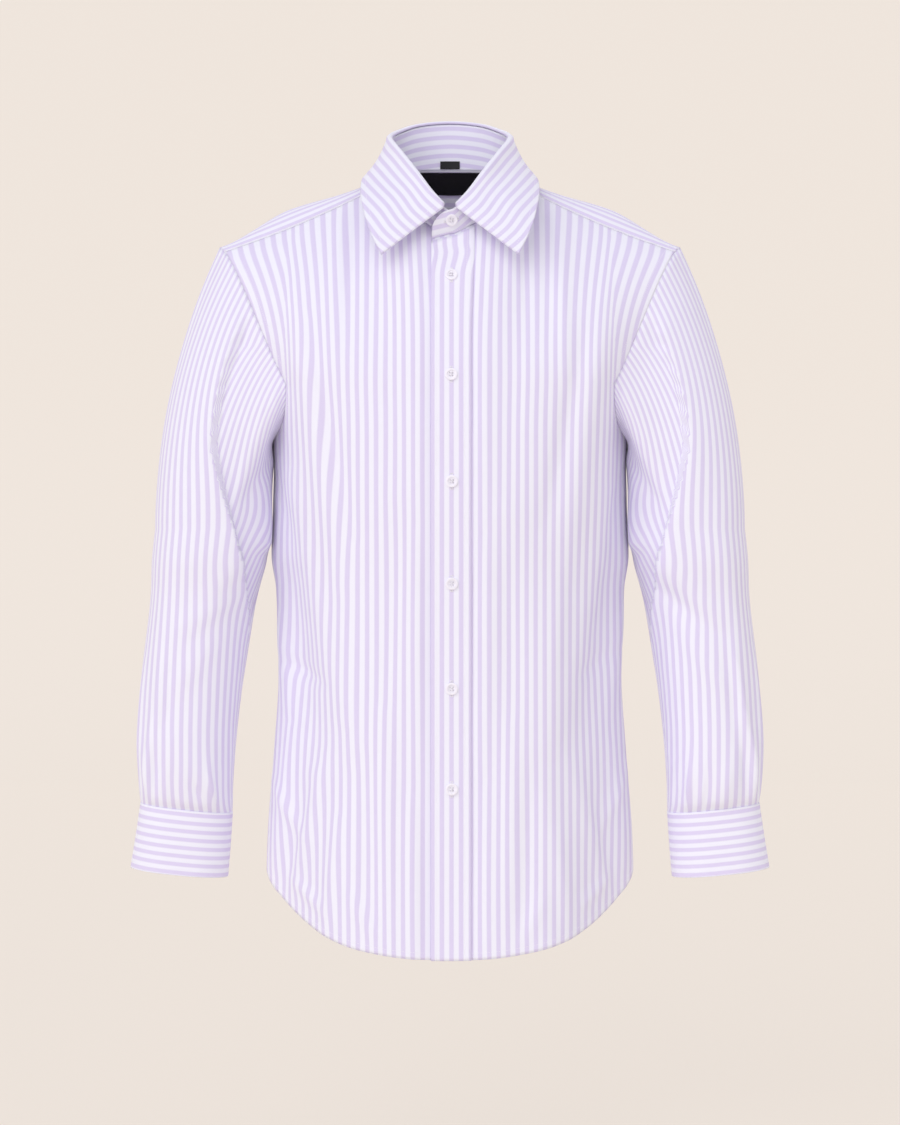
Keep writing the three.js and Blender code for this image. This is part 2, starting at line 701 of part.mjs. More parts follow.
// Turns the faces round where the mesh would be inside out
function outwardGeometry(positions, index) {
  const geometry = new THREE.BufferGeometry();
  geometry.setAttribute('position', new THREE.Float32BufferAttribute(positions, 3));
  const corner = (k) => new THREE.Vector3(...positions.slice(3 * k, 3 * k + 3));
  let volume = 0;
  for (let k = 0; k < index.length; k += 3) {
    volume += corner(index[k]).dot(corner(index[k + 1]).cross(corner(index[k + 2])));
  }
  if (volume < 0) index.reverse();
  geometry.setIndex(index);
  geometry.computeVertexNormals();
  return geometry;
}

for (const name of Object.keys(panels)) {
  const { rows, mitres } = seamedPanel(name);
  const thickness = name.startsWith('collar') || name.startsWith('cuff') ? collarWall : panelWall;
  addMesh(name, wallGeometry(rows, mitres, thickness, tubes.has(name)), stripedCotton);
}

// A point on a panel's own faces, from a row and a column that may lie between two
function onPanel(name, i, j) {
  const mix = (grid) => {
    const [i0, j0] = [Math.floor(i), Math.floor(j)];
    const i1 = Math.min(i0 + 1, grid.length - 1);
    const j1 = Math.min(j0 + 1, grid[0].length - 1);
    const low = grid[i0][j0].clone().lerp(grid[i0][j1], j - j0);
    const high = grid[i1][j0].clone().lerp(grid[i1][j1], j - j0);
    return low.lerp(high, i - i0);
  };
  return { place: mix(panels[name]), normal: mix(normals[name]).normalize() };
}

// A strip laid on a panel: its points moved out by half of both walls and the gap
function addPatch(name, panel, levels, columns, side, walls, patchMaterial) {
  const lift = side * ((walls.panel + walls.patch) / 2 + layGap);
  const places = levels.map((i) => columns.map((j) => onPanel(panel, i, j)));
  const rows = places.map((row) => row.map(({ place, normal }) => place.addScaledVector(normal, lift)));
  const directions = places.map((row) => row.map(({ normal }) => normal));
  addMesh(name, wallGeometry(rows, directions, walls.patch, false), patchMaterial);
  return { rows, directions };
}

// The column, maybe between two, that lies at a distance across a row
function columnAt(row, x) {
  let j = 1;
  while (j < row.length - 1 && row[j].x < x) j += 1;
  return j - 1 + (x - row[j - 1].x) / (row[j].x - row[j - 1].x);
}

// The row, maybe between two, that lies at a distance below a panel's top edge
function rowBelowTop(rows, column, distance) {
  let i = rows.length - 1;
  let left = distance;
  let step = rows[i][column].distanceTo(rows[i - 1][column]);
  while (left > step) {
    i -= 1;
    left -= step;
    step = rows[i][column].distanceTo(rows[i - 1][column]);
  }
  return i - left / step;
}

const middleSpacing = (rows, i, j) => rows[i][j].distanceTo(rows[i][j + 1]);
const middleRow = panels.front_left[rowCounts.low];
const placketButtonColumn = 3;
const placketColumns = [0, 1, 2, columnAt(middleRow, frontButtonX), columnCounts.tab + 1,
  columnAt(middleRow, placketEdges.right)];
const placketTop = rowBelowTop(panels.front_left, columnCounts.tab, placketBelowNeck);
const placketRows = [...panels.front_left.keys()].slice(0, -1);
const placketStrip = addPatch('placket', 'front_left', [...placketRows, placketTop], placketColumns, 1,
  { panel: panelWall, patch: panelWall }, stripedCotton);

const yokeMiddle = (panels.yoke[0].length - 1) / 2;
const yokeStation = middleSpacing(panels.yoke, rowCounts.yoke, yokeMiddle);
const labelReach = neckLabel.halfWidth / yokeStation;
const labelTop = rowBelowTop(panels.yoke, yokeMiddle, neckLabel.fromSeam);
const labelEnd = rowBelowTop(panels.yoke, yokeMiddle, neckLabel.toSeam);
addPatch('neck_label', 'yoke', [labelTop, Math.floor(labelTop), labelEnd],
  [-labelReach, -1, 0, 1, labelReach].map((j) => yokeMiddle + j), -1,
  { panel: panelWall + layGap, patch: neckLabel.wall }, labelSatin);

const standMiddle = standTabShares.length + 2 * neckStations;
const tabReach = sizeTab.halfWidth / middleSpacing(panels.collar_stand, 0, standMiddle);
addPatch('size_tab', 'collar_stand', sizeTab.rows, [-tabReach, 0, tabReach].map((j) => standMiddle + j), -1,
  { panel: collarWall, patch: sizeTab.wall }, labelSatin);

function addSleevePlacket(side) {
  const lift = panelWall + 2 * layGap;
  const middle = (sleevePlacket.from + sleevePlacket.to) / 2;
  const levels = [sleevePlacket.tip, sleevePlacket.shoulder, ...sleevePlacket.levels];
  const rows = levels.map((z, i) => shares(columnCounts.placket).map((t) => {
    const angle = lerp(sleevePlacket.from, sleevePlacket.to, t);
    const drawn = i === 0 ? lerp(middle, angle, sleevePlacket.tipWidth) : angle;
    const p = ringPoint(rowAt(sleeveSections, z), THREE.MathUtils.degToRad(drawn), lift);
    return side === 'left' ? p : mirrorX(p);
  }));
  const name = `sleeve_placket_${side}`;
  addMesh(name, wallGeometry(rows, normalsOf(name, rows), panelWall, false), stripedCotton);
}

addSleevePlacket('left');
addSleevePlacket('right');

// Buttons: a rimmed disc with a dished middle
function buttonGeometry() {
  const { radius, thickness, edge, rim, dish, dishDepth, segments } = button;
  const profile = [[0, 0], [radius - edge, 0], [radius, edge], [radius, thickness - edge],
    [radius - rim, thickness], [radius - (rim + dish) / 2, thickness - dishDepth / 4],
    [radius - dish, thickness - dishDepth], [0, thickness - dishDepth]];
  return new THREE.LatheGeometry(profile.map(([x, y]) => new THREE.Vector2(x, y)), segments);
}

function addButton(name, place, normal, wall) {
  const mesh = addMesh(name, buttonGeometry(), buttonResin);
  mesh.position.copy(place).addScaledVector(normal, wall / 2 + buttonGap);
  mesh.quaternion.setFromUnitVectors(new THREE.Vector3(0, 1, 0), normal);
}

const collarPlace = onPanel('collar_stand', collarButton.row, collarButton.column);
addButton('button_collar', collarPlace.place, collarPlace.normal, collarWall);

function placketPlace(z) {
  const middle = placketStrip.rows.map((row) => row[placketButtonColumn]);
  let i = 1;
  while (i < middle.length - 1 && middle[i].z < z) i += 1;
  const t = (z - middle[i - 1].z) / (middle[i].z - middle[i - 1].z);
  const [before, after] = placketStrip.directions.slice(i - 1, i + 1).map((row) => row[placketButtonColumn]);
  const normal = before.clone().lerp(after, t).normalize();
  return { place: middle[i - 1].clone().lerp(middle[i], t), normal };
}

frontButtonZ.forEach((z, i) => {
  const { place, normal } = placketPlace(z);
  addButton(`button_front_${i + 1}`, place, normal, panelWall);
});

for (const side of ['left', 'right']) {
  const { place, normal } = onPanel(`cuff_${side}`, cuffButton.row, cuffButton.column);
  addButton(`button_cuff_${side}`, place, normal, collarWall);
}

export default shirt;
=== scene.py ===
# A long sleeve dress shirt, worn and buttoned with no wearer: cloth shells, stitching, buttons and trim.
# Millimetres in the tables, +X to the wearer's left, -Y to the front; the meshes are made in metres.
import math

import bpy
import numpy as np
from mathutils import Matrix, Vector


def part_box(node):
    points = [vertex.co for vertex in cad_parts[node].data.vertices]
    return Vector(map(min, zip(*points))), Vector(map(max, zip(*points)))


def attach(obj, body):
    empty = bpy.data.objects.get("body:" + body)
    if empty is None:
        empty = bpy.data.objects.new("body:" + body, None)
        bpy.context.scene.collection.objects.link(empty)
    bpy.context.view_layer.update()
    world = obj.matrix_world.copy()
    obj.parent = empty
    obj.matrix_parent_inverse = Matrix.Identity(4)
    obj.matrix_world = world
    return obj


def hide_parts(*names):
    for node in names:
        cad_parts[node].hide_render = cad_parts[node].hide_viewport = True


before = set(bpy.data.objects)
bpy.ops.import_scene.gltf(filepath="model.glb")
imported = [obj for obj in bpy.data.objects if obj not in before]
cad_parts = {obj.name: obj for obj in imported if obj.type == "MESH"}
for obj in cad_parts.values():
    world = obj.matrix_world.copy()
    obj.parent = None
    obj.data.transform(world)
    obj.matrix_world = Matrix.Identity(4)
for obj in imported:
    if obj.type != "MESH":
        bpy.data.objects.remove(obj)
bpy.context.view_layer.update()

mm = 0.001

cloth = {"panelThickness": 0.9, "collarThickness": 1.5, "frontStep": 1.7, "standStep": 2.5}
stripes = {"pitch": 8.9, "lilacShare": 0.47, "softness": 0.16, "cuffPitch": 8.0, "standPitch": 9.4,
           "leafPitch": 8.7, "sleevePitch": 8.633, "flatten": 0.55, "weave": 0.42}
colours = {"white": "#F1F1FC", "lilac": "#DDD4F1", "thread": "#F4F2FA", "button": "#F3F1FA",
           "label": "#141318", "backdrop": "#EEE5DC", "light": "#F6F3FF"}

# Body sections by level: half width, side depth, front, its soft corner, back corner and back
sectionKeys = ("z", "width", "sideY", "front", "cornerX", "cornerY", "backX", "backY", "back")
bodySections = np.array([
    (-207, 176, 0, 119, 142, 90, 124, 92, 111),
    (-258, 172, 2, 123, 138, 88, 118, 88, 108),
    (-320, 172.6, 4, 124, 132, 87, 116, 84, 104),
    (-372, 174.2, 5, 122, 116, 92, 114, 80, 99),
    (-400, 170, 6, 120, 108, 95, 112, 78, 97),
    (-480, 167, 6, 117, 94, 102, 108, 78, 94),
    (-560, 172, 6, 115, 93, 103, 112, 84, 100),
    (-640, 178, 5, 114, 96, 103, 116, 92, 109),
    (-720, 180, 4, 114, 96, 103, 120, 100, 117),
    (-800, 181, 3, 115, 96, 104, 122, 104, 121),
], float)
underarmZ, chestZ, sideHemZ = -258, -207, -673
frontHem = {"z": -747, "power": 2.15}
backHem = {"z": -770, "power": 2.3}
frontChestShare, backChestShare = 0.7, 0.72

# Neck seam from the middle of the front round the wearer's left to the middle of the back
neckSeam = [(0, -76, -66), (20, -73, -57), (40, -62, -41), (59, -40, -25), (69, -14, -10),
            (68, 12, 2), (56, 38, 11), (32, 56, 16.5), (0, 62, 18)]
neckFrontShare, frontNeckWidth, yokeNeckWidth = 0.47, 0.41, 0.4
neckTabSlope = (1, 0.21, 0.28)
yokeFrontTip, yokeBackTip = (219, -16, -75), (209, 50, -94)
yokeBackCentre = {"y": 105, "z": -84, "power": 2.4}
yokeSeamSag = (0, -3.5, -4.5)

# The direction the cloth runs at stations across each upper panel
frontTopRuns = [(0, (0, 67, 135)), (frontNeckWidth, (5, 125, 82)), (1, (50, 120, 60))]
backTopRuns = [(0, (0, -25, 122)), (1, (30, -45, 95))]
frontChestRun = ((0, 11, 140), (60, 10, 110))
backChestRun = ((0, 7, 125), (25, 0, 110))
yokeTurn, yokeShoulder = 0.26, 0.72
yokeSeamRuns = [(0, (0, -22, 105)), (yokeNeckWidth, (10, -20, 150)), (yokeShoulder, (27, -30, 160)),
                (1, (45, -40, 75))]
yokeTopRuns = [(0, (0, -80, 55)), (yokeTurn, (-75, -62, 22)), (yokeNeckWidth, (-20, -118, -95)),
               (yokeShoulder, (-30, -95, -135)), (1, (-40, -45, -40))]

# Collar
standTop = [(0, -82, -44), (13, -79, -33), (31, -61, -7), (45, -34, 15), (56, -2, 33.5),
            (57.5, 22, 43), (49, 44, 52), (32, 59, 60.5), (0, 68, 65)]
leafEdge = [(64, -109, -90), (76, -95, -64), (83, -70, -38), (86, -38, -17), (84, -4, 0),
            (75, 36, 5), (47, 71, 8), (0, 88, 9)]
leafFoldShare = 6 / 235
leafProfile = [(-0.9, 0.6), (-0.7, 2.2), (0.4, 3.2), (2.2, 3.4), (3.9, 2.1), (4.5, -1.4)]
leafFall = {"out": 0.35, "down": 0.9, "straightShare": 0.16}
placketEdges = {"left": -17.5, "right": 19.5}
buttonStandEdge = 15
overEnd, underEnd, tabRadius = 17, 15, 15
underFrom, underTo = -34, -21

# Sleeve rings: level, middle across and deep, half width, half depth and fall towards the body
sleeveRings = np.array([
    (-345, 232, -9, 54.5, 62, 0),
    (-375, 234.5, -10, 55, 61, 0),
    (-414, 241, -5, 51, 59, 0),
    (-473, 249, -8, 49.5, 54, 0),
    (-512, 253.6, -10, 48.5, 51, 0),
    (-551, 256.5, -12, 47.3, 49, 1),
    (-585, 257, -14, 45.5, 45, 3),
    (-606, 256.4, -15, 44.6, 38, 4.4),
    (-613.2, 256.2, -15, 44, 31, 4.7),
], float)
cuffRings = np.array([(-614.7, 256.2, -15, 44, 31, 4.7), (-677, 263, -16, 46.5, 32, 4.6)], float)
sleeveLift = {"underarm": 16, "top": 40, "middle": 50}
ringPower = 2.2
cuffLap = {"start": 214, "over": 26, "ease": 20, "step": 2.4}


def smooth(t):
    t = np.clip(t, 0, 1)
    return t * t * (3 - 2 * t)


def lerp(a, b, t):
    return a + (b - a) * t


def hermite(a, runA, b, runB, t):
    t2, t3 = t * t, t * t * t
    return a * (2 * t3 - 3 * t2 + 1) + runA * (t3 - 2 * t2 + t) + b * (3 * t2 - 2 * t3) + runB * (t3 - t2)


def rowsAt(table, levels):
    levels = np.asarray(levels, float)
    i = np.clip(np.searchsorted(-table[:, 0], -levels, side="right") - 1, 0, len(table) - 2)
    before, after = np.maximum(i - 1, 0), np.minimum(i + 2, len(table) - 1)
    t = np.clip((table[i, 0] - levels) / (table[i, 0] - table[i + 1, 0]), 0, 1)[..., None]
    runIn = (table[i + 1] - table[before]) / 2
    runOut = (table[after] - table[i]) / 2
    return hermite(table[i], runIn, table[i + 1], runOut, t)


def curveSamples(points, closed, start=0.0, end=1.0, count=240):  # a centripetal Catmull-Rom curve
    points = np.array(points, float)
    n = len(points)
    if closed:
        t = np.linspace(start, end, count) * n
        i = np.floor(t).astype(int)
        at = [points[(i + k) % n] for k in (-1, 0, 1, 2)]
    else:
        ends = np.vstack([2 * points[0] - points[1], points, 2 * points[-1] - points[-2]])
        t = np.linspace(start, end, count) * (n - 1)
        i = np.minimum(np.floor(t).astype(int), n - 2)
        at = [ends[i + k] for k in (0, 1, 2, 3)]
    f = (t - i)[:, None]
    spans = [np.linalg.norm(at[k + 1] - at[k], axis=1, keepdims=True) for k in range(3)]
    gap = [np.maximum(span, 1e-6) ** 0.5 for span in spans]
    runA = (at[1] - at[0]) / gap[0] - (at[2] - at[0]) / (gap[0] + gap[1]) + (at[2] - at[1]) / gap[1]
    runB = (at[2] - at[1]) / gap[1] - (at[3] - at[1]) / (gap[1] + gap[2]) + (at[3] - at[2]) / gap[2]
    return hermite(at[1], runA * gap[1], at[2], runB * gap[1], f)


def lengthsOf(samples):
    steps = np.linalg.norm(np.diff(samples, axis=0), axis=1)
    return np.concatenate([[0], np.cumsum(steps)])


def readRows(wanted, marks, rows):  # the rows' three columns at wanted marks
    return np.stack([np.interp(wanted, marks, rows[:, k]) for k in range(3)], axis=-1)


def byShare(samples):  # reads a curve by its share of length
    lengths = lengthsOf(samples)

    def at(shares):
        target = np.clip(np.asarray(shares, float), 0, 1) * lengths[-1]
        return readRows(target, lengths, samples)

    return at


def symmetricLoop(half):
    return list(half) + [(-x, y, z) for x, y, z in reversed(half[1:-1])]


neckAt = byShare(curveSamples(symmetricLoop(neckSeam), True, 0, 0.5))
standTopAt = byShare(curveSamples(symmetricLoop(standTop), True, 0, 0.5))
wholeLeafEdge = leafEdge + [(-x, y, z) for x, y, z in reversed(leafEdge[:-1])]
leafEdgeAt = byShare(curveSamples(wholeLeafEdge, False, 0, 0.5))
neckSide = neckAt(neckFrontShare)

sectionLevels = np.arange(-206, -806, -4.0)
sectionShares = np.linspace(0, 1, 101)


def sectionTable(half):  # one row for each level, and each row's length
    places, lengths = [], []
    for z, row in zip(sectionLevels, rowsAt(bodySections, sectionLevels)):
        r = dict(zip(sectionKeys, row))
        frontEase, backEase = (r["front"] - r["cornerY"]) * 0.16, (r["back"] - r["backY"]) * 0.16
        points = [(0, -r["front"], z), (r["cornerX"] * 0.5, frontEase - r["front"], z),
                  (r["cornerX"], -r["cornerY"], z),
                  (lerp(r["cornerX"], r["width"], 0.64), lerp(-r["cornerY"], r["sideY"], 0.48), z),
                  (r["width"], r["sideY"], z), (r["backX"], r["backY"], z),
                  (r["backX"] * 0.5, r["back"] - backEase, z), (0, r["back"], z)]
        start = 0 if half == "front" else 0.5
        samples = curveSamples(symmetricLoop(points), True, start, 4 / 14)
        places.append(byShare(samples)(sectionShares))
        lengths.append(lengthsOf(samples)[-1])
    return np.array(places), np.array(lengths)


sections = {half: sectionTable(half) for half in ("front", "back")}


def onSection(half, shares, z):  # places and distances from the middle, for arrays of shares and levels
    places, lengths = sections[half]
    row = np.clip((sectionLevels[0] - z) / 4.0, 0, len(sectionLevels) - 1.001)
    column = np.clip(shares, 0, 1) * (len(sectionShares) - 1)
    i, j = np.floor(row).astype(int), np.minimum(np.floor(column).astype(int), len(sectionShares) - 2)
    fi, fj = (row - i)[..., None], (column - j)[..., None]
    above, below = lerp(places[i, j], places[i, j + 1], fj), lerp(places[i + 1, j], places[i + 1, j + 1], fj)
    place = lerp(above, below, fi)
    place[..., 2] = z
    return place, shares * lerp(lengths[i], lengths[i + 1], fi[..., 0])


def runsAt(stations, shares):  # named directions blended across a panel
    at = [s for s, _ in stations]
    eased = np.zeros_like(shares)
    for k in range(len(at) - 1):
        inside = (shares >= at[k]) & (shares <= at[k + 1])
        eased[inside] = k + smooth((shares[inside] - at[k]) / (at[k + 1] - at[k]))
    return readRows(eased, range(len(at)), np.array([run for _, run in stations], float))


def shares(count):  # a little closer together near both ends
    even = np.linspace(0, 1, count + 1)
    return lerp(even, smooth(even), 0.25)


def shoulderSeam(share):  # hangs a little in its middle
    share = np.clip(share, 0, 1)[:, None]
    straight = lerp(neckSide, np.array(yokeFrontTip, float), share)
    return straight + np.array(yokeSeamSag) * np.sin(share * math.pi)


def frontTop(u):
    onNeck = neckAt(np.clip(u / frontNeckWidth, 0, 1) * neckFrontShare)
    onShoulder = shoulderSeam((u - frontNeckWidth) / (1 - frontNeckWidth))
    return np.where((u <= frontNeckWidth)[:, None], onNeck, onShoulder)


def yokeSeam(u):
    y = lerp(yokeBackTip[1], yokeBackCentre["y"], 1 - u ** yokeBackCentre["power"])
    return np.stack([yokeBackTip[0] * u, y, lerp(yokeBackCentre["z"], yokeBackTip[2], u * u)], axis=-1)


def yokeTop(u):
    onNeck = neckAt(lerp(1, neckFrontShare, np.clip(u / yokeNeckWidth, 0, 1)))
    onShoulder = shoulderSeam((u - yokeNeckWidth) / (1 - yokeNeckWidth))
    return np.where((u <= yokeNeckWidth)[:, None], onNeck, onShoulder)


rowCounts = {"low": 104, "scoop": 14, "high": 36, "yoke": 30, "cap": 44, "arm": 72}
halfColumns = shares(72)


def bodyHalf(half, hem, chestShare, topAt, chestRun, topRuns):  # rows from the hem up, and cloth places
    u = halfColumns
    hemZ = lerp(hem["z"], sideHemZ, u ** hem["power"])
    levels = lerp(hemZ[None, :], underarmZ, shares(rowCounts["low"])[:, None])
    low, lowAcross = onSection(half, np.broadcast_to(u, levels.shape), levels)
    t = (np.arange(1, rowCounts["scoop"] + 1) / rowCounts["scoop"])[:, None]
    levels = np.broadcast_to(lerp(underarmZ, chestZ, t ** 1.6), (len(t), len(u)))
    scoop, scoopAcross = onSection(half, u * lerp(1, chestShare, np.sin(t * math.pi / 2)), levels)
    chest, chestAcross = scoop[-1], scoopAcross[-1]
    t = (np.arange(1, rowCounts["high"] + 1) / rowCounts["high"])[:, None, None]
    run = lerp(np.array(chestRun[0], float), np.array(chestRun[1], float), (u * u)[:, None])
    high = hermite(chest, run, topAt(u), runsAt(topRuns, u), t)
    beyond = np.maximum(high[..., 0] - chest[-1, 0], 0)
    level = np.interp(high[..., 0], chest[:, 0], chestAcross) + 1.08 * beyond
    highAcross = lerp(level, chestAcross, 0.62 * smooth(t[..., 0] * 1.1))
    places = np.concatenate([low, scoop, high])
    across = np.concatenate([lowAcross, scoopAcross, highAcross])
    if half == "front":  # the cloth lies flatter over the chest than its section, so its stripes stay wide
        across = lerp(across, places[..., 0] * 1.03, stripes["flatten"] * smooth((places[..., 0] - 20) / 60)
                      * (1 - smooth((places[..., 2] + 258) / 60)))
    return places, np.stack([across, alongColumns(places)], axis=-1)


def alongColumns(places):
    steps = np.linalg.norm(np.diff(places, axis=0), axis=-1)
    return np.concatenate([np.zeros((1, places.shape[1])), np.cumsum(steps, axis=0)])


def flipped(grid):
    return grid * np.array([-1, 1, 1])


def flippedCloth(cloth):
    return cloth * np.array([-1, 1])


def withTab(places, clothPlaces, reaches):  # columns past the middle of the front
    rise = smooth((np.arange(len(places)) - len(places) + 20) / 15.0)[:, None]
    reach = np.array(reaches)[None, :]
    step = np.stack([np.broadcast_to(reach, (len(places), len(reaches))), reach * neckTabSlope[1] * rise,
                     reach * neckTabSlope[2] * rise], axis=-1)
    tab = places[:, :1] + step
    beside = np.broadcast_to(reach, tab.shape[:2])
    tabCloth = clothPlaces[:, :1] + np.stack([beside, 0 * beside], axis=-1)
    return np.concatenate([tab, places], axis=1), np.concatenate([tabCloth, clothPlaces], axis=1)


def underShare(x):
    return smooth((x - underFrom) / (underTo - underFrom))


# Sleeve rings
def ringPlace(rows, angle, swell=0.0):
    c, s = np.cos(angle), np.sin(angle)
    across = np.sign(c) * np.abs(c) ** (2 / ringPower)
    deep = np.sign(s) * np.abs(s) ** (2 / ringPower)
    x = rows[..., 1] - (rows[..., 3] + swell) * across
    y = rows[..., 2] - (rows[..., 4] + swell) * deep
    return np.stack([x, y, rows[..., 0] - rows[..., 5] * across], axis=-1)


def armholeLoop(front, yoke, back):
    frontEdge = front[rowCounts["low"]:, -1]
    yokeEdge = yoke[::-1, -1]
    backEdge = back[rowCounts["low"]:, -1][::-1]
    loop = np.concatenate([frontEdge, yokeEdge[1:], backEdge[1:-1]])
    top = len(frontEdge) - 1 + rowCounts["yoke"] // 2
    marks = lengthsOf(np.vstack([loop, loop[:1]]))
    first = math.pi * marks[:top + 1] / marks[top]
    second = math.pi * (1 + (marks[top + 1:-1] - marks[top]) / (marks[-1] - marks[top]))
    return loop, np.concatenate([first, second])


def sleeveGrid(loop, angles):
    ends = ringPlace(np.broadcast_to(sleeveRings[0], (len(angles), 6)), angles)
    run = ends - loop
    length = np.linalg.norm(run, axis=1)
    run[:, 0] += sleeveLift["underarm"] + sleeveLift["top"] * np.abs(np.sin(angles / 2))
    run[:, 0] += sleeveLift["middle"] * np.abs(np.sin(angles))
    hang = np.stack([0 * length, 0 * length, -0.9 * length], axis=-1)
    t = shares(rowCounts["cap"])[:, None, None]
    cap = hermite(loop, run, ends, hang, t)
    down = np.arange(1, rowCounts["arm"] + 1) / rowCounts["arm"]
    levels = lerp(sleeveRings[0, 0], sleeveRings[-1, 0], down)
    rows = np.repeat(rowsAt(sleeveRings, levels)[:, None, :], len(angles), axis=1)
    arm = ringPlace(rows, np.broadcast_to(angles, rows.shape[:2]))
    tucked = rowsAt(sleeveRings, [-613.2])[0] + np.array([-5.5, 0, 0, -1.6, -1.6, 0])
    end = ringPlace(np.broadcast_to(tucked, (len(angles), 6)), angles)
    return np.concatenate([cap, arm, end[None]])


# The sleeve's main fold hangs from the armhole and turns in to the underarm seam: its degrees by level
underFold = {"levels": [-95, -166, -270, -318, -360, -400, -440, -470],
             "degrees": [116, 104, 88, 72, 58, 38, 12, -8], "top": -95, "foot": -468, "ridge": 3.4, "drop": 4.6,
             "edge": 2.6, "outerFade": 26, "innerFade": 34, "lean": 0.42, "leanFrom": -170, "leanTo": -440}


def foldTurn(degrees, z):  # degrees past the fold, towards the underarm when above zero
    return np.interp(-z, [-level for level in underFold["levels"]], underFold["degrees"]) - degrees


def underFoldHeight(degrees, z):
    past = foldTurn(degrees, z)
    fold = underFold
    ends = smooth((fold["top"] - z) / 60) * smooth((z - fold["foot"]) / 60)
    outer = fold["ridge"] * np.exp(-(np.minimum(past, 0) / fold["outerFade"]) ** 2)
    inner = -fold["drop"] * np.exp(-(np.maximum(past, 0) / fold["innerFade"]) ** 2)
    return ends * lerp(outer, inner, smooth(past / fold["edge"] + 0.5)) * (degrees < 180)


cuffFull = -540  # the sleeve is at its full width down to this level


def straightDrift(grid, across, halfTurns, sign):  # what keeps a line down the sleeve straight into the cuff
    line = np.argmin(np.abs(armAngles - halfTurns * math.pi))
    full = np.argmin(np.abs(grid[:, line, 2] - cuffFull))
    drift = across[:, line] - across[full, line] - sign * (grid[:, line, 0] - grid[full, line, 0])
    return np.where(np.arange(len(grid)) > full, drift, 0)[:, None]


def sleeveCloth(grid):  # the distance round the arm from its outer line, which the stripes follow
    ring = np.concatenate([grid, grid[:, :1]], axis=1)
    lengths = np.cumsum(np.linalg.norm(np.diff(ring, axis=1), axis=-1), axis=1)
    lengths = np.concatenate([np.zeros((len(grid), 1)), lengths[:, :-1]], axis=1)
    outer = np.argmin(np.abs(armAngles - math.pi))
    across = lengths - lengths[:, outer:outer + 1]
    degrees = np.degrees(np.broadcast_to(armAngles, across.shape))
    frontDrift, backDrift = straightDrift(grid, across, 0.5, 1), straightDrift(grid, across, 1.5, -1)
    across -= lerp(frontDrift, backDrift, smooth((degrees - 160) / 40))
    inner = smooth(foldTurn(degrees, grid[..., 2]) / underFold["edge"] + 0.5) * (degrees < 180)
    fall = np.clip(underFold["leanFrom"] - grid[..., 2], 0, underFold["leanFrom"] - underFold["leanTo"])
    return np.stack([across - inner * underFold["lean"] * fall, alongColumns(grid)], axis=-1)


# Folds: soft ridges and troughs laid on a piece, each from one place to another with a width and a depth
def foldHeight(x, z, folds):
    height = np.zeros_like(x)
    for x0, z0, x1, z1, width, depth in folds:
        length = (x1 - x0) ** 2 + (z1 - z0) ** 2
        t = np.clip(((x - x0) * (x1 - x0) + (z - z0) * (z1 - z0)) / length, 0, 1)
        away = np.hypot(x - x0 - t * (x1 - x0), z - z0 - t * (z1 - z0))
        fade = np.sin(math.pi * np.clip(0.08 + 0.84 * t, 0, 1)) ** 0.8
        height += depth * fade * np.exp(-(away / width) ** 2)
    return height


def ripple(x, z, size):  # a slight unevenness that cloth always has
    wide = np.sin(x / 23 + 1.3 * np.sin(z / 61)) * np.sin(z / 83 + 0.4)
    return size * (wide + 0.6 * np.sin(x / 11 - z / 47 + 2.1) + 0.4 * np.sin(x / 17 + z / 29))


def normalsOf(grid, closed=False):
    if closed:
        across = np.roll(grid, -1, axis=1) - np.roll(grid, 1, axis=1)
    else:
        across = np.gradient(grid, axis=1)
    up = np.gradient(grid, axis=0)
    normal = np.cross(across, up)
    return normal / np.maximum(np.linalg.norm(normal, axis=-1, keepdims=True), 1e-9)


def facing(normals, grid, centre):
    i, j = grid.shape[0] // 2, grid.shape[1] // 3
    away = grid[i, j] - np.array([centre[0], centre[1], grid[i, j, 2]])
    return normals if np.dot(normals[i, j], away) > 0 else -normals


def hex2linear(text):
    values = [int(text[k:k + 2], 16) / 255 for k in (1, 3, 5)]
    return tuple(v / 12.92 if v <= 0.04045 else ((v + 0.055) / 1.055) ** 2.4 for v in values) + (1,)


def clothObject(name, grid, clothPlaces, thickness, material, closed=False):
    rows, columns = grid.shape[:2]
    mesh = bpy.data.meshes.new(name)
    wide = columns if closed else columns - 1
    i, j = np.meshgrid(np.arange(rows - 1), np.arange(wide), indexing="ij")
    right = (j + 1) % columns
    row, onward = i * columns, (i + 1) * columns
    quads = np.stack([row + j, row + right, onward + right, onward + j], axis=-1)
    mesh.from_pydata((grid.reshape(-1, 3) * mm).tolist(), [], quads.reshape(-1, 4).tolist())
    layer = mesh.uv_layers.new(name="cloth")
    flat = clothPlaces.reshape(-1, 2)
    loopPlaces = flat[quads.reshape(-1)].copy()
    if closed:  # the seam's last faces carry on past the first column
        turned = (j == columns - 1)
        ahead = np.zeros(quads.shape, bool)
        ahead[..., 1] = ahead[..., 2] = turned
        jump = clothPlaces[:, -1, 0] - clothPlaces[:, -2, 0]
        beyond = np.repeat((clothPlaces[:, -1, 0] + jump)[:, None], columns, axis=1).reshape(-1)[quads]
        loopPlaces[:, 0] = np.where(ahead.reshape(-1), beyond.reshape(-1), loopPlaces[:, 0])
    layer.data.foreach_set("uv", loopPlaces.reshape(-1).astype(np.float32))
    mesh.polygons.foreach_set("use_smooth", [True] * len(mesh.polygons))
    mesh.materials.append(material)
    mesh.update()
    obj = bpy.data.objects.new(name, mesh)
    bpy.context.scene.collection.objects.link(obj)
    wall = obj.modifiers.new("wall", "SOLIDIFY")
    wall.thickness = thickness * mm
    wall.offset = 0
    return obj


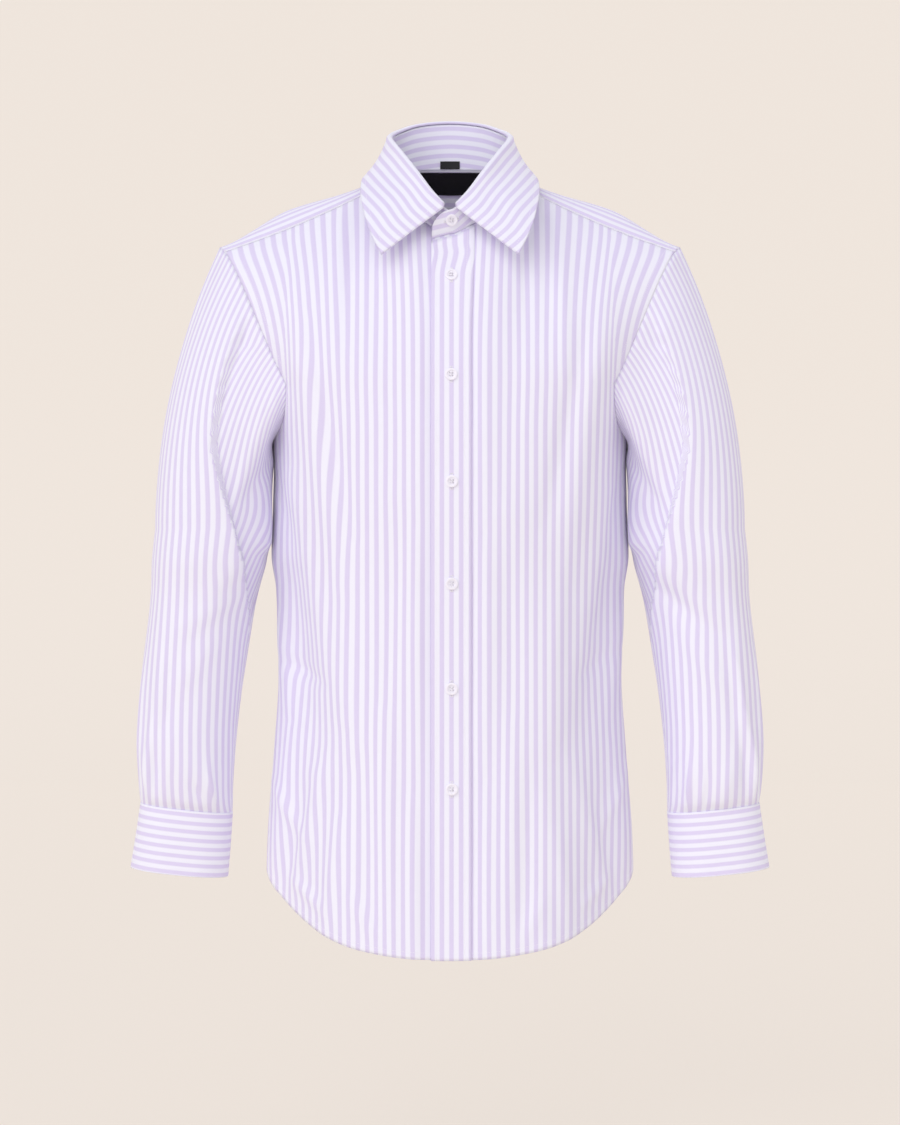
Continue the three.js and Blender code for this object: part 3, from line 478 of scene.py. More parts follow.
# Materials
def addNode(tree, kind, inputs=None, **settings):
    node = tree.nodes.new(kind)
    for key, value in settings.items():
        setattr(node, key, value)
    for key, value in (inputs or {}).items():
        if isinstance(value, bpy.types.NodeSocket):
            tree.links.new(value, node.inputs[key])
        else:
            node.inputs[key].default_value = value
    return node


def newMaterial(name, roughness):
    material = bpy.data.materials.new(name)
    material.use_nodes = True
    tree = material.node_tree
    shader = tree.nodes["Principled BSDF"]
    shader.inputs["Roughness"].default_value = roughness
    return material, tree, shader


def mathNode(tree, operation, *inputs):
    return addNode(tree, "ShaderNodeMath", dict(enumerate(inputs)), operation=operation).outputs[0]


def stripedPoplin(name, pitch, phase, lengthwise):  # cotton poplin in a lilac and white bengal stripe
    material, tree, shader = newMaterial(name, 0.9)
    cloth = addNode(tree, "ShaderNodeUVMap", uv_map="cloth").outputs[0]
    axes = addNode(tree, "ShaderNodeSeparateXYZ", {0: cloth})
    shifted = mathNode(tree, "SUBTRACT", axes.outputs[0 if lengthwise else 1], phase)
    part = mathNode(tree, "FRACT", mathNode(tree, "DIVIDE", shifted, pitch))
    fromWhite = mathNode(tree, "ABSOLUTE", mathNode(tree, "SUBTRACT", part, 0.5))
    edge, soft = 0.5 - stripes["lilacShare"] / 2, stripes["softness"] / 2
    limits = {"Value": fromWhite, "From Min": edge - soft, "From Max": edge + soft}
    inLilac = addNode(tree, "ShaderNodeMapRange", limits, interpolation_type="SMOOTHSTEP")
    slubScale = (3.1, 0.16, 1) if lengthwise else (0.16, 3.1, 1)
    slub = addNode(tree, "ShaderNodeMapping", {"Vector": cloth, "Scale": slubScale})
    yarn = addNode(tree, "ShaderNodeTexNoise", {"Vector": slub.outputs[0], "Scale": 1.0, "Detail": 2.0})
    uneven = addNode(tree, "ShaderNodeMapRange", {"Value": yarn.outputs[0], "From Min": 0.3, "From Max": 0.7,
                                                   "To Min": 0.88, "To Max": 1.0})
    depth = mathNode(tree, "MULTIPLY", inLilac.outputs[0], uneven.outputs[0])
    colour = addNode(tree, "ShaderNodeMix", {0: depth}, data_type="RGBA")
    colour.inputs[6].default_value = hex2linear(colours["white"])
    colour.inputs[7].default_value = hex2linear(colours["lilac"])
    tree.links.new(colour.outputs[2], shader.inputs["Base Color"])
    turns = 2 * math.pi / stripes["weave"]
    waves = [mathNode(tree, "SINE", mathNode(tree, "MULTIPLY", axes.outputs[k], turns)) for k in (0, 1)]
    basket = mathNode(tree, "MULTIPLY", *waves)
    bump = addNode(tree, "ShaderNodeBump", {"Height": basket, "Strength": 0.12, "Distance": 0.00012})
    tree.links.new(bump.outputs[0], shader.inputs["Normal"])
    looks = {"Sheen Weight": 0.15, "Sheen Roughness": 0.6, "IOR": 1.4, "Specular IOR Level": 0.25}
    for socket, value in looks.items():
        shader.inputs[socket].default_value = value
    return material


def plainMaterial(name, colour, roughness, specular=0.5):
    material, _, shader = newMaterial(name, roughness)
    shader.inputs["Base Color"].default_value = hex2linear(colours[colour])
    shader.inputs["Specular IOR Level"].default_value = specular
    return material


poplin = stripedPoplin("cotton_poplin_bengal_stripe", stripes["pitch"], 1.4, True)
sleevePoplin = stripedPoplin("cotton_poplin_sleeve_stripe", stripes["sleevePitch"], 0.0, True)
yokePoplin = stripedPoplin("cotton_poplin_yoke_stripe", stripes["pitch"], 4.2, False)
crossPoplin = stripedPoplin("cotton_poplin_cuff_stripe", stripes["cuffPitch"], 3.8, False)
standPoplin = stripedPoplin("cotton_poplin_stand_stripe", stripes["standPitch"], 4.0, False)
collarPoplin = stripedPoplin("cotton_poplin_collar_stripe", stripes["leafPitch"], 0.0, False)
threadCotton = plainMaterial("polyester_sewing_thread", "thread", 0.6)
buttonResin = plainMaterial("polyester_button_resin", "button", 0.28)
labelSatin = plainMaterial("woven_label_satin", "label", 0.55, 0.3)


# Folds of the fronts by side: from x, z to x, z, then width and depth, a ridge above zero and a trough below
frontFolds = {
    "right": [
        (-150, -120, -103, -395, 12, 3.4), (-132, -150, -92, -350, 9, -3.0),
        (-106, -40, -108, -190, 8, 2.0), (-92, -42, -96, -170, 8, -1.8),
        (-148, -300, -103, -520, 11, 3.2), (-166, -330, -126, -560, 11, -3.2),
        (-100, -380, -92, -560, 10, 2.4), (-62, -520, -54, -742, 10, 2.6),
        (-80, -560, -76, -735, 9, -2.4), (-38, -600, -34, -746, 8, 1.8),
        (-118, -560, -152, -690, 9, 3.2), (-134, -590, -160, -698, 7, -3.0),
        (-152, -540, -168, -670, 8, 2.8), (-104, -620, -118, -728, 7, 2.6),
        (-22, -130, -25, -330, 7, 1.6), (-60, -120, -52, -300, 12, -1.8),
        (-168, -430, -156, -520, 7, 2.6), (-164, -470, -118, -492, 7, -2.2),
        (-48, -330, -58, -500, 12, -2.0), (-172, -280, -150, -360, 8, -2.0),
        (-30, -350, -28, -560, 8, 1.4), (-170, -590, -140, -640, 6, 2.2),
        (-150, -680, -120, -705, 6, 2.2), (-90, -690, -70, -730, 7, 1.8),
    ],
    "left": [
        (148, -118, 107, -380, 11, 3.2), (128, -160, 90, -345, 9, -3.0), (104, -40, 106, -200, 8, 2.2),
        (90, -44, 94, -160, 8, -1.8), (150, -310, 106, -530, 11, 3.1), (166, -320, 128, -545, 11, -3.2),
        (102, -390, 94, -550, 10, 2.3), (58, -530, 50, -742, 10, 2.5), (76, -570, 70, -736, 9, -2.4),
        (34, -590, 36, -745, 8, 1.8), (116, -570, 150, -692, 9, 3.1), (136, -600, 160, -696, 7, -2.9),
        (154, -550, 168, -668, 8, 2.9), (100, -630, 112, -730, 7, 2.4), (32, -150, 30, -340, 7, 1.6),
        (62, -130, 56, -310, 12, -1.9), (168, -420, 155, -515, 7, 2.5), (162, -460, 120, -488, 7, -2.1),
        (52, -350, 60, -510, 12, -1.9), (172, -275, 152, -350, 8, -2.0), (34, -360, 31, -570, 8, 1.3),
        (170, -580, 142, -636, 6, 2.1), (152, -676, 124, -702, 6, 2.3), (86, -690, 68, -732, 7, 1.7),
    ],
}
backFolds = [
    (-120, -150, -60, -420, 14, 3.4), (118, -160, 64, -430, 14, 3.2), (-60, -110, -34, -380, 12, -2.8),
    (56, -112, 38, -390, 12, -2.6), (0, -130, 4, -400, 13, 2.2), (-150, -260, -90, -470, 11, 3.0),
    (150, -265, 92, -480, 11, 2.9), (-90, -500, -96, -740, 12, 3.0), (92, -500, 90, -735, 12, 2.8),
    (-30, -520, -26, -765, 11, 2.4), (34, -510, 40, -762, 11, -2.2), (-140, -420, -40, -470, 9, -2.6),
    (138, -430, 36, -476, 9, -2.4), (-130, -560, -150, -690, 9, 2.6), (130, -565, 150, -688, 9, 2.7),
    (0, -440, 70, -500, 10, 1.9), (-60, -560, -66, -720, 9, -2.0), (64, -560, 60, -715, 9, -2.1),
]
yokeFolds = [(-150, -60, -60, -10, 12, 0.8), (150, -60, 60, -12, 12, 0.8), (-60, -80, 60, -78, 10, -0.7)]
# Folds of a sleeve by degrees round the arm from the underarm, and by level
sleeveFolds = {
    "left": [
        (115, -456, 120, -530, 6, 2.3), (121, -522, 141, -602, 6, 2.7), (105, -474, 109, -545, 8, -1.7),
        (113, -545, 131, -604, 7, -2.1), (36, -568, 38, -610, 4, 1.7), (55, -576, 52, -610, 3.5, 1.5),
        (73, -582, 71, -610, 3.5, 1.1), (75, -130, 40, -300, 11, 2.4), (60, -150, 25, -285, 9, -2.2),
        (98, -110, 86, -330, 12, 1.6), (40, -230, 70, -360, 10, 2.0), (20, -270, 58, -330, 9, -2.0),
        (35, -350, 95, -430, 12, 1.9), (30, -390, 110, -450, 10, -1.8), (60, -440, 120, -520, 12, 1.5),
        (118, -330, 130, -560, 13, 1.4), (150, -470, 158, -606, 9, 2.2), (163, -500, 168, -609, 7, -2.0),
        (140, -540, 134, -612, 8, 1.8), (120, -560, 122, -613, 7, -1.5), (100, -568, 96, -613, 8, 1.6),
        (80, -575, 76, -613, 7, -1.4), (58, -560, 52, -613, 8, 1.7), (38, -570, 34, -613, 7, -1.4),
        (15, -540, 22, -613, 9, 1.5), (200, -430, 190, -600, 10, 1.6), (228, -470, 232, -612, 9, -1.5),
        (250, -520, 256, -613, 9, 1.9), (275, -540, 282, -613, 8, -1.6), (300, -550, 304, -613, 9, 1.6),
        (325, -560, 330, -613, 8, -1.3), (285, -140, 318, -300, 11, 2.3),
        (300, -160, 338, -290, 9, -2.1), (262, -110, 276, -330, 12, 1.5),
        (320, -340, 262, -420, 12, 1.9), (330, -380, 250, -450, 10, -1.7),
        (240, -300, 230, -460, 13, 1.3),
    ],
}
sleeveFolds["right"] = [
    (a + 3, z - 7, b - 4, w + 5 if w < -320 else w, size + 0.6, -depth if k % 7 == 6 else depth * 0.94)
    for k, (a, z, b, w, size, depth) in enumerate(sleeveFolds["left"])
]
sleeveFoldDepth = 1.25
armScale = 62 * math.pi / 180  # millimetres round the arm for a degree


def fadeAtEdges(height, start=0, end=0):  # folds die out where a seam holds the cloth
    rows = np.linspace(0, 1, height.shape[0])[:, None]
    keep = np.ones_like(rows)
    if start:
        keep = keep * smooth(rows / start)
    if end:
        keep = keep * smooth((1 - rows) / end)
    return height * keep


waver = 0.55  # how far stripes stray sideways for each mm of fold


def frontPiece(side):
    sign = 1 if side == "left" else -1
    places, clothPlaces = bodyHalf("front", frontHem, frontChestShare, frontTop, frontChestRun, frontTopRuns)
    if sign < 0:
        places, clothPlaces = flipped(places), flippedCloth(clothPlaces)
    edge = placketEdges["left"] if side == "left" else buttonStandEdge
    places, clothPlaces = withTab(places, clothPlaces, edge * np.linspace(1, 0, 9)[:-1])
    normals = facing(normalsOf(places), places, (0, 0))
    x, z = places[..., 0], places[..., 2]
    height = foldHeight(x, z, frontFolds[side]) + ripple(x, z, 0.3)
    hold = smooth((np.abs(x) - 16) / 16)  # the placket keeps the middle flat
    armSide = smooth(np.minimum((len(places[0]) - 1 - np.arange(len(places[0]))) / 5.0, 1))
    height = fadeAtEdges(height * hold, 0, 0.04) * armSide
    if side == "left":
        height -= 0.9 * np.exp(-((x - placketEdges["right"] - 2) / 2.4) ** 2)  # pressed in by the placket
    if side == "right":
        places = places + np.stack([0 * x, cloth["frontStep"] * underShare(x), 0 * x], axis=-1)
    places = places + normals * height[..., None]
    clothPlaces[..., 0] += waver * height
    obj = clothObject(f"shirt_front_{side}", places, clothPlaces, cloth["panelThickness"], poplin)
    return obj, places, clothPlaces[..., 0]


def wholeRows(half, halfCloth):
    places = np.concatenate([flipped(half[:, :0:-1]), half], axis=1)
    return places, np.concatenate([flippedCloth(halfCloth[:, :0:-1]), halfCloth], axis=1)


def backPiece():
    half, halfCloth = bodyHalf("back", backHem, backChestShare, yokeSeam, backChestRun, backTopRuns)
    places, clothPlaces = wholeRows(half, halfCloth)
    normals = facing(normalsOf(places), places, (0, 0))
    x, z = places[..., 0], places[..., 2]
    height = fadeAtEdges(foldHeight(x, z, backFolds) + ripple(x + 90, z, 0.35), 0, 0.05)
    column = np.arange(places.shape[1])
    sides = smooth(np.minimum(np.minimum(column, column[::-1]) / 5.0, 1))
    places = places + normals * (height * sides)[..., None]
    clothPlaces[..., 0] += waver * height
    return clothObject("shirt_back", places, clothPlaces, cloth["panelThickness"], poplin), half, places


yokeStripes = {"measuredAt": 0.6, "turnFrom": 0.3, "turn": 0.5, "beside": 0.08}


def yokePiece():
    u = halfColumns
    seamRun, topRun = runsAt(yokeSeamRuns, u), runsAt(yokeTopRuns, u)
    t = (np.arange(rowCounts["yoke"] + 1) / rowCounts["yoke"])[:, None, None]
    half = hermite(yokeSeam(u), seamRun, yokeTop(u), topRun, t)
    acrossShoulder = lengthsOf(half[rowCounts["yoke"] // 2])
    fromBack = alongColumns(half)
    shoulderDepth = fromBack[-1, np.argmin(np.abs(u - yokeStripes["measuredAt"]))]
    turned = smooth((t[..., 0] - yokeStripes["turnFrom"]) / yokeStripes["turn"])
    turned = turned * smooth((u - yokeNeckWidth) / yokeStripes["beside"])
    down = shoulderDepth - fromBack - turned * (shoulderDepth - fromBack[-1])  # parallel to both seams
    halfCloth = np.stack([np.broadcast_to(acrossShoulder, down.shape), down], axis=-1)
    places, clothPlaces = wholeRows(half, halfCloth)
    normals = facing(normalsOf(places), places, (0, 0))
    height = fadeAtEdges(foldHeight(places[..., 0], places[..., 2], yokeFolds), 0.1, 0.1)
    places = places + normals * height[..., None]
    return clothObject("shirt_yoke", places, clothPlaces, cloth["panelThickness"], yokePoplin), half, places


# Where the sleeve rests against the body's side
sleeveRest = {"degrees": 14, "width": 18, "reach": 6.2, "top": -258, "foot": -372}


def sleevePiece(side, loop, angles):
    grid = sleeveGrid(loop, angles)
    clothPlaces = sleeveCloth(grid)
    normals = facing(normalsOf(grid, True), grid, (240, -4))
    degrees = np.degrees(np.broadcast_to(angles, grid.shape[:2]))
    around = degrees * armScale
    folds = [(a * armScale, z0, b * armScale, z1, size, sleeveFoldDepth * depth)
             for a, z0, b, z1, size, depth in sleeveFolds[side]]
    height = sum(foldHeight(around + turn * 360 * armScale, grid[..., 2], folds) for turn in (0, -1, 1))
    height += 0.25 * np.sin(grid[..., 2] / 31 + np.radians(3 * degrees)) * np.sin(grid[..., 2] / 53)
    inner = np.exp(-((np.minimum(degrees, 360 - degrees)) / 32) ** 2)
    height = np.where(height > 0, height * (1 - 0.85 * inner), height)
    height += underFoldHeight(degrees, grid[..., 2])
    fromBody = (degrees + 180) % 360 - 180 - sleeveRest["degrees"]
    height += sleeveRest["reach"] * np.exp(-(fromBody / sleeveRest["width"]) ** 2) * smooth(
        (sleeveRest["top"] - grid[..., 2]) / 22) * smooth((grid[..., 2] - sleeveRest["foot"]) / 16)
    grid = grid + normals * fadeAtEdges(height, 0.05, 0.02)[..., None]
    clothPlaces[..., 0] += waver * fadeAtEdges(height, 0.05, 0.02)
    if side == "right":
        grid, clothPlaces = flipped(grid), flippedCloth(clothPlaces)
    name, thickness = f"shirt_sleeve_{side}", cloth["panelThickness"]
    return clothObject(name, grid, clothPlaces, thickness, sleevePoplin, closed=True), grid


# Collar and cuffs
def standStations():
    shareList = shares(90)
    low, high = neckAt(shareList), standTopAt(shareList)
    reachLeft = -overEnd * smooth(np.linspace(1, 0, 15))[:-1]
    reachRight = underEnd * smooth(np.linspace(0, 1, 15))[1:]
    slope = np.array(neckTabSlope, float)
    first, last = low[0], high[0]
    over = (first + reachLeft[:, None] * slope, last + reachLeft[:, None] * slope)
    under = (first + reachRight[:, None] * slope, last + reachRight[:, None] * slope)
    low = np.concatenate([over[0], low, flipped(low[-2::-1]), under[0]])
    high = np.concatenate([over[1], high, flipped(high[-2::-1]), under[1]])
    toEnd = np.full(len(low), 1e3)
    toEnd[:14], toEnd[-14:] = overEnd + reachLeft, underEnd - reachRight
    stepped = np.where((np.arange(len(low)) > 100) & (low[:, 1] < 0), underShare(low[:, 0]), 0)
    return low, high, toEnd, stepped


def standPiece():
    low, high, toEnd, stepped = standStations()
    height = np.linalg.norm(high - low, axis=1)
    inside = np.clip(tabRadius - toEnd, 0, tabRadius)
    drop = tabRadius - np.sqrt(tabRadius ** 2 - inside ** 2)
    v = shares(22)[:, None, None]
    grid = lerp(low, high, v * (1 - drop / height)[:, None])
    grid[..., 1] += cloth["standStep"] * stepped
    along = np.broadcast_to(lengthsOf(low), grid.shape[:2])
    clothPlaces = np.stack([along, height - alongColumns(grid)], axis=-1)
    return clothObject("shirt_collar_stand", grid, clothPlaces, cloth["collarThickness"], standPoplin), grid


def leafGrid():
    u = shares(80)
    share = lerp(leafFoldShare, 1, u)
    top = standTopAt(share)
    ahead = standTopAt(np.minimum(share + 0.01, 1)) - standTopAt(np.maximum(share - 0.01, 0))
    out = np.stack([ahead[:, 1], -ahead[:, 0], 0 * share], axis=-1)
    out /= np.linalg.norm(out, axis=1, keepdims=True)
    up = np.array([0, 0, 1.0])
    rows = [top + out * step + up * rise for step, rise in leafProfile]
    start, edge = rows[-1], leafEdgeAt(u)
    span = edge - start
    length = np.linalg.norm(span, axis=1, keepdims=True)
    startRun = out * leafFall["out"] * length - up * leafFall["down"] * length
    straight = smooth(1 - u / leafFall["straightShare"])[:, None]  # the front edges are straight
    startRun = lerp(startRun, span, straight)
    for t in shares(34)[1:]:
        rows.append(hermite(start, startRun, edge, span, t))
    half = np.array(rows)
    return np.concatenate([half, flipped(half[:, -2::-1])], axis=1)


leafFolds = [
    (-50, -20, -66, -60, 10, 0.9), (52, -22, 68, -58, 10, 0.8), (-74, -20, -76, 0, 9, -0.6),
    (76, -18, 78, 2, 9, -0.6),
]


def leafPiece():
    grid = leafGrid()
    normals = normalsOf(grid)
    normals = normals if normals[20, 80, 1] > 0 else -normals
    x, z = grid[..., 0], grid[..., 2]
    side = np.linspace(-1, 1, grid.shape[1])[None, :]
    down = alongColumns(grid)
    belly = 1.6 * np.exp(-((np.abs(side) - 0.82) / 0.1) ** 2) * np.sin(math.pi * np.clip(down / 70, 0, 1))
    grid = grid + normals * (belly + foldHeight(x, z, leafFolds))[..., None]
    along = np.cumsum(np.concatenate([[0], np.linalg.norm(np.diff(grid[8], axis=0), axis=1)]))
    clothPlaces = np.stack([np.broadcast_to(along, down.shape), down], axis=-1)
    return clothObject("shirt_collar_leaf", grid, clothPlaces, cloth["collarThickness"], collarPoplin), grid

def cuffPiece(side):
    angle = np.linspace(0, 360 + cuffLap["over"], 300)[None, :]
    v = shares(44)[:, None]
    rows = lerp(cuffRings[0], cuffRings[1], v[..., None])
    rows = np.repeat(rows, angle.shape[1], axis=1)
    swell = cuffLap["step"] * smooth((angle - 360 + cuffLap["ease"]) / cuffLap["ease"])
    turned = np.radians(cuffLap["start"] + angle)
    unevenness = 0.35 * np.sin(3 * turned + 1.1) * np.sin(math.pi * v) + 0.25 * np.sin(7 * turned) * v
    grid = ringPlace(rows, np.broadcast_to(turned, rows.shape[:2]), swell + unevenness)
    if side == "right":
        grid = flipped(grid)
    along = np.cumsum(np.concatenate([[0], np.linalg.norm(np.diff(grid[10], axis=0), axis=1)]))
    down = alongColumns(grid)
    clothPlaces = np.stack([np.broadcast_to(along, down.shape), down], axis=-1)
    return clothObject(f"shirt_cuff_{side}", grid, clothPlaces, cloth["collarThickness"], crossPoplin), grid


# Pieces laid on a panel
def alongRows(grid, measure, targets):  # places at given measures along every row
    return np.array([readRows(targets, marks, row) for row, marks in zip(grid, measure)])


placketReach = np.array([-17.5, -17.2, -16.6, -15.6, -14.2, -13, -12.2, -11.4, -9, -6, -3, 0, 3, 6, 9, 11.4,
                         13.4, 14.2, 15, 16.4, 17.6, 18.6, 19.2, 19.5])


def placketPiece(front, across):
    base = alongRows(front[:-1], across[:-1], placketReach)
    fromEdge = np.minimum(placketReach - placketEdges["left"], placketEdges["right"] - placketReach)
    lift = 0.75 + 1.15 * smooth(fromEdge / 1.3) - 0.22 * np.exp(-((fromEdge - 5.6) / 0.9) ** 2)
    normals = facing(normalsOf(base), base, (0, 0))
    wave = 0.18 * np.sin(base[..., 2] / 19 + 0.8) * np.sin(base[..., 2] / 47)
    grid = base + normals * (lift + wave)[..., None]
    z = grid[..., 2]
    drawn = 3.6 * smooth((z + 108) / 26) - 1.4 * smooth((z + 86) / 10)  # stripes drawn aside near the neck
    clothPlaces = np.stack([placketReach - drawn, alongColumns(grid)], axis=-1)
    return clothObject("shirt_placket", grid, clothPlaces, cloth["panelThickness"], poplin), grid, normals


sleevePlacket = {"from": 206, "to": 238, "tip": -462, "shoulder": -476, "end": -606, "lift": 0.6,
                 "proud": 0.95}


def sleevePlacketPiece(side, grid):
    loopDegrees = np.degrees(armAngles)
    degrees = np.linspace(sleevePlacket["from"], sleevePlacket["to"], 25)
    middle = (sleevePlacket["from"] + sleevePlacket["to"]) / 2
    rows = grid[rowCounts["cap"]:]
    levels = np.linspace(sleevePlacket["tip"], sleevePlacket["end"], 70)
    base = np.array([readRows(degrees, loopDegrees, row) for row in rows])
    places = np.empty((len(levels), len(degrees), 3))
    share = np.abs(degrees - middle) / (sleevePlacket["to"] - middle)
    tops = lerp(sleevePlacket["tip"], sleevePlacket["shoulder"], share)
    for j in range(len(degrees)):
        wanted = lerp(tops[j], sleevePlacket["end"], np.linspace(0, 1, len(levels)))
        places[:, j] = readRows(-wanted, -base[:, j, 2], base[:, j])
    sign = -1 if side == "right" else 1
    normals = facing(normalsOf(places), places, (240 * sign, -4))
    endFade = np.minimum(np.arange(len(levels)) / 1.5, 1)[:, None]
    edge = smooth((1 - share) / 0.16)[None, :] * smooth(endFade)
    lift = sleevePlacket["lift"] + sleevePlacket["proud"] * edge
    places = places + normals * lift[..., None]
    across = (degrees - middle) * armScale * 0.9
    clothPlaces = np.stack([np.broadcast_to(across, places.shape[:2]), alongColumns(places)], axis=-1)
    name = f"shirt_sleeve_placket_{side}"
    return clothObject(name, places, clothPlaces, cloth["panelThickness"], sleevePoplin), (places, normals)


def labelPiece(name, places, normals, across, down, halfWidth, reach, lift):  # a blank satin label
    wantedAcross, wantedDown = np.linspace(-halfWidth, halfWidth, 33), np.linspace(reach[0], reach[1], 15)
    laid = np.empty((2, len(wantedDown), len(wantedAcross), 3))
    for kind, source in enumerate((places, normals)):
        for k in range(3):
            onRow = np.array([np.interp(wantedAcross, across, row[:, k]) for row in source])
            for j in range(len(wantedAcross)):
                laid[kind, :, j, k] = np.interp(wantedDown, down, onRow[:, j])
    clothPlaces = np.stack(np.meshgrid(wantedAcross, wantedDown), axis=-1)
    return clothObject(name, laid[0] - laid[1] * lift, clothPlaces, 0.3, labelSatin)


def neckLabels(yokePlaces, standPlaces):
    made = []
    for name, grid, half, reach, lift in (("shirt_neck_label", yokePlaces[::-1], 32, (2.5, 29), 1.1),
                                          ("shirt_size_tab", standPlaces, 10, (0.8, 9), 1.5)):
        middle = np.argmin(np.abs(grid[0, :, 0]) + 1e3 * (grid[0, :, 1] < 0))
        part = grid[:, middle - 26:middle + 27]
        part = part[:, ::-1] if part[0, 0, 0] > part[0, -1, 0] else part
        normals = normalsOf(part)
        normals = normals if normals[2, 26, 1] > 0 else -normals
        across = lengthsOf(part[3])
        across = across - np.interp(0, part[3, :, 0], across)
        down = lengthsOf(part[:, 26])
        made.append(labelPiece(name, part, normals, across, down, half, reach, lift))
    return made


# Buttons
buttonSizes = {"radius": 5.7, "thickness": 2.3, "dish": 3.7, "dishDepth": 0.75, "holeRadius": 0.62,
               "holeApart": 1.25, "edge": 0.45, "shank": 0.7}


def applyModifiers(obj):
    bpy.ops.object.select_all(action="DESELECT")
    obj.select_set(True)
    bpy.context.view_layer.objects.active = obj
    for modifier in list(obj.modifiers):
        bpy.ops.object.modifier_apply(modifier=modifier.name)


def cutWith(obj, cutter):
    cut = obj.modifiers.new("cut", "BOOLEAN")
    cut.operation = "DIFFERENCE"
    cut.solver = "EXACT"
    cut.object = cutter
    applyModifiers(obj)
    bpy.data.objects.remove(cutter, do_unlink=True)


def addCylinder(name, radius, depth, place, sides):
    bpy.ops.object.select_all(action="DESELECT")
    bpy.ops.mesh.primitive_cylinder_add(vertices=sides, radius=radius * mm, depth=depth * mm,
                                        location=tuple(v * mm for v in place))
    obj = bpy.context.object
    obj.name = name
    return obj


def buttonPattern():  # a four-hole shirt button lying on the floor
    size = buttonSizes
    body = addCylinder("button_pattern", size["radius"], size["thickness"], (0, 0, size["thickness"] / 2), 40)
    dish = addCylinder("dish", size["dish"], 2, (0, 0, size["thickness"] - size["dishDepth"] + 1), 32)
    cutWith(body, dish)
    for x in (-size["holeApart"], size["holeApart"]):
        for y in (-size["holeApart"], size["holeApart"]):
            cutWith(body, addCylinder("hole", size["holeRadius"], 8, (x, y, 0), 14))
    bevel = body.modifiers.new("edge", "BEVEL")
    bevel.width = size["edge"] * mm
    bevel.segments = 2
    bevel.limit_method = "ANGLE"
    bevel.angle_limit = math.radians(40)
    bevel.use_clamp_overlap = True
    applyModifiers(body)
    bpy.ops.object.shade_smooth()
    return body


def ringsRound(centres, side, other, radius, turn):
    c, s = np.cos(turn)[None, :, None], np.sin(turn)[None, :, None]
    return centres[:, None] + radius * (c * side[:, None] + s * other[:, None])


def tubeFaces(rings, sides):
    return [(r * sides + k, r * sides + (k + 1) % sides, (r + 1) * sides + (k + 1) % sides, (r + 1) * sides + k)
            for r in range(rings - 1) for k in range(sides)]


def threadTube(points, radius, sides=8):  # one stitch along a line of places
    points = np.array(points, float)
    along = np.gradient(points, axis=0)
    along /= np.linalg.norm(along, axis=1, keepdims=True)
    side = np.cross(along, [0.03, 0.02, 1.0])
    side /= np.linalg.norm(side, axis=1, keepdims=True)
    other = np.cross(along, side)
    turn = np.linspace(0, 2 * math.pi, sides, endpoint=False)
    rings = ringsRound(points, side, other, radius, turn)
    faces = tubeFaces(len(points), sides)
    faces += [tuple(range(sides))[::-1], tuple((len(points) - 1) * sides + k for k in range(sides))]
    return rings.reshape(-1, 3), faces


def meshObject(name, parts, material):
    places, faces, first = [], [], 0
    for partPlaces, partFaces in parts:
        places.append(np.asarray(partPlaces) * mm)
        faces += [tuple(first + k for k in face) for face in partFaces]
        first += len(partPlaces)
    mesh = bpy.data.meshes.new(name)
    mesh.from_pydata(np.concatenate(places).tolist(), [], faces)
    mesh.polygons.foreach_set("use_smooth", [True] * len(mesh.polygons))
    mesh.materials.append(material)
    obj = bpy.data.objects.new(name, mesh)
    bpy.context.scene.collection.objects.link(obj)
    return obj


def frameAt(place, normal, upward):  # a matrix whose Z is the normal and whose Y leans to upward
    normal = Vector(normal).normalized()
    side = Vector(upward).cross(normal).normalized()
    up = normal.cross(side)
    return np.array([[side[k], up[k], normal[k], place[k]] for k in range(3)])


def sewnButton(name, pattern, frame34, shank):  # the button, and its thread through the holes
    mesh = pattern.data.copy()
    mesh.name = name
    corners = np.array([v.co for v in mesh.vertices]) / mm + np.array([0, 0, shank])
    turned = corners @ frame34[:, :3].T + frame34[:, 3]
    mesh.vertices.foreach_set("co", (turned * mm).reshape(-1))
    mesh.materials.clear()
    mesh.materials.append(buttonResin)
    mesh.update()
    obj = bpy.data.objects.new(name, mesh)
    bpy.context.scene.collection.objects.link(obj)
    a, top = buttonSizes["holeApart"], shank + buttonSizes["thickness"] - buttonSizes["dishDepth"]
    parts = []
    for y in (-a, a):
        for offset in (-0.2, 0.2):
            bow = np.sin(np.linspace(0, math.pi, 9))
            height = top - 0.45 + 0.75 * bow ** 0.6
            line = np.stack([np.linspace(-a, a, 9), np.full(9, y + offset), height], axis=-1)
            line = np.vstack([[-a, y + offset, -0.4], line, [a, y + offset, -0.4]])
            parts.append(threadTube(line @ frame34[:, :3].T + frame34[:, 3], 0.2, 6))
    neck = np.array([[0, 0, -0.6], [0.05, 0, shank * 0.5], [0, 0, shank + 0.4]])
    parts.append(threadTube(neck @ frame34[:, :3].T + frame34[:, 3], 1.3, 10))
    return obj, meshObject(name + "_thread", parts, threadCotton)


# Stitching
stitch = {"pitch": 2.4, "share": 0.76, "radius": 0.16, "start": 0.4, "sink": -0.16,
          "profile": [(0, 0.35), (0.2, 1.0), (0.8, 1.0), (1, 0.35)]}  # shares of a stitch and of its radius


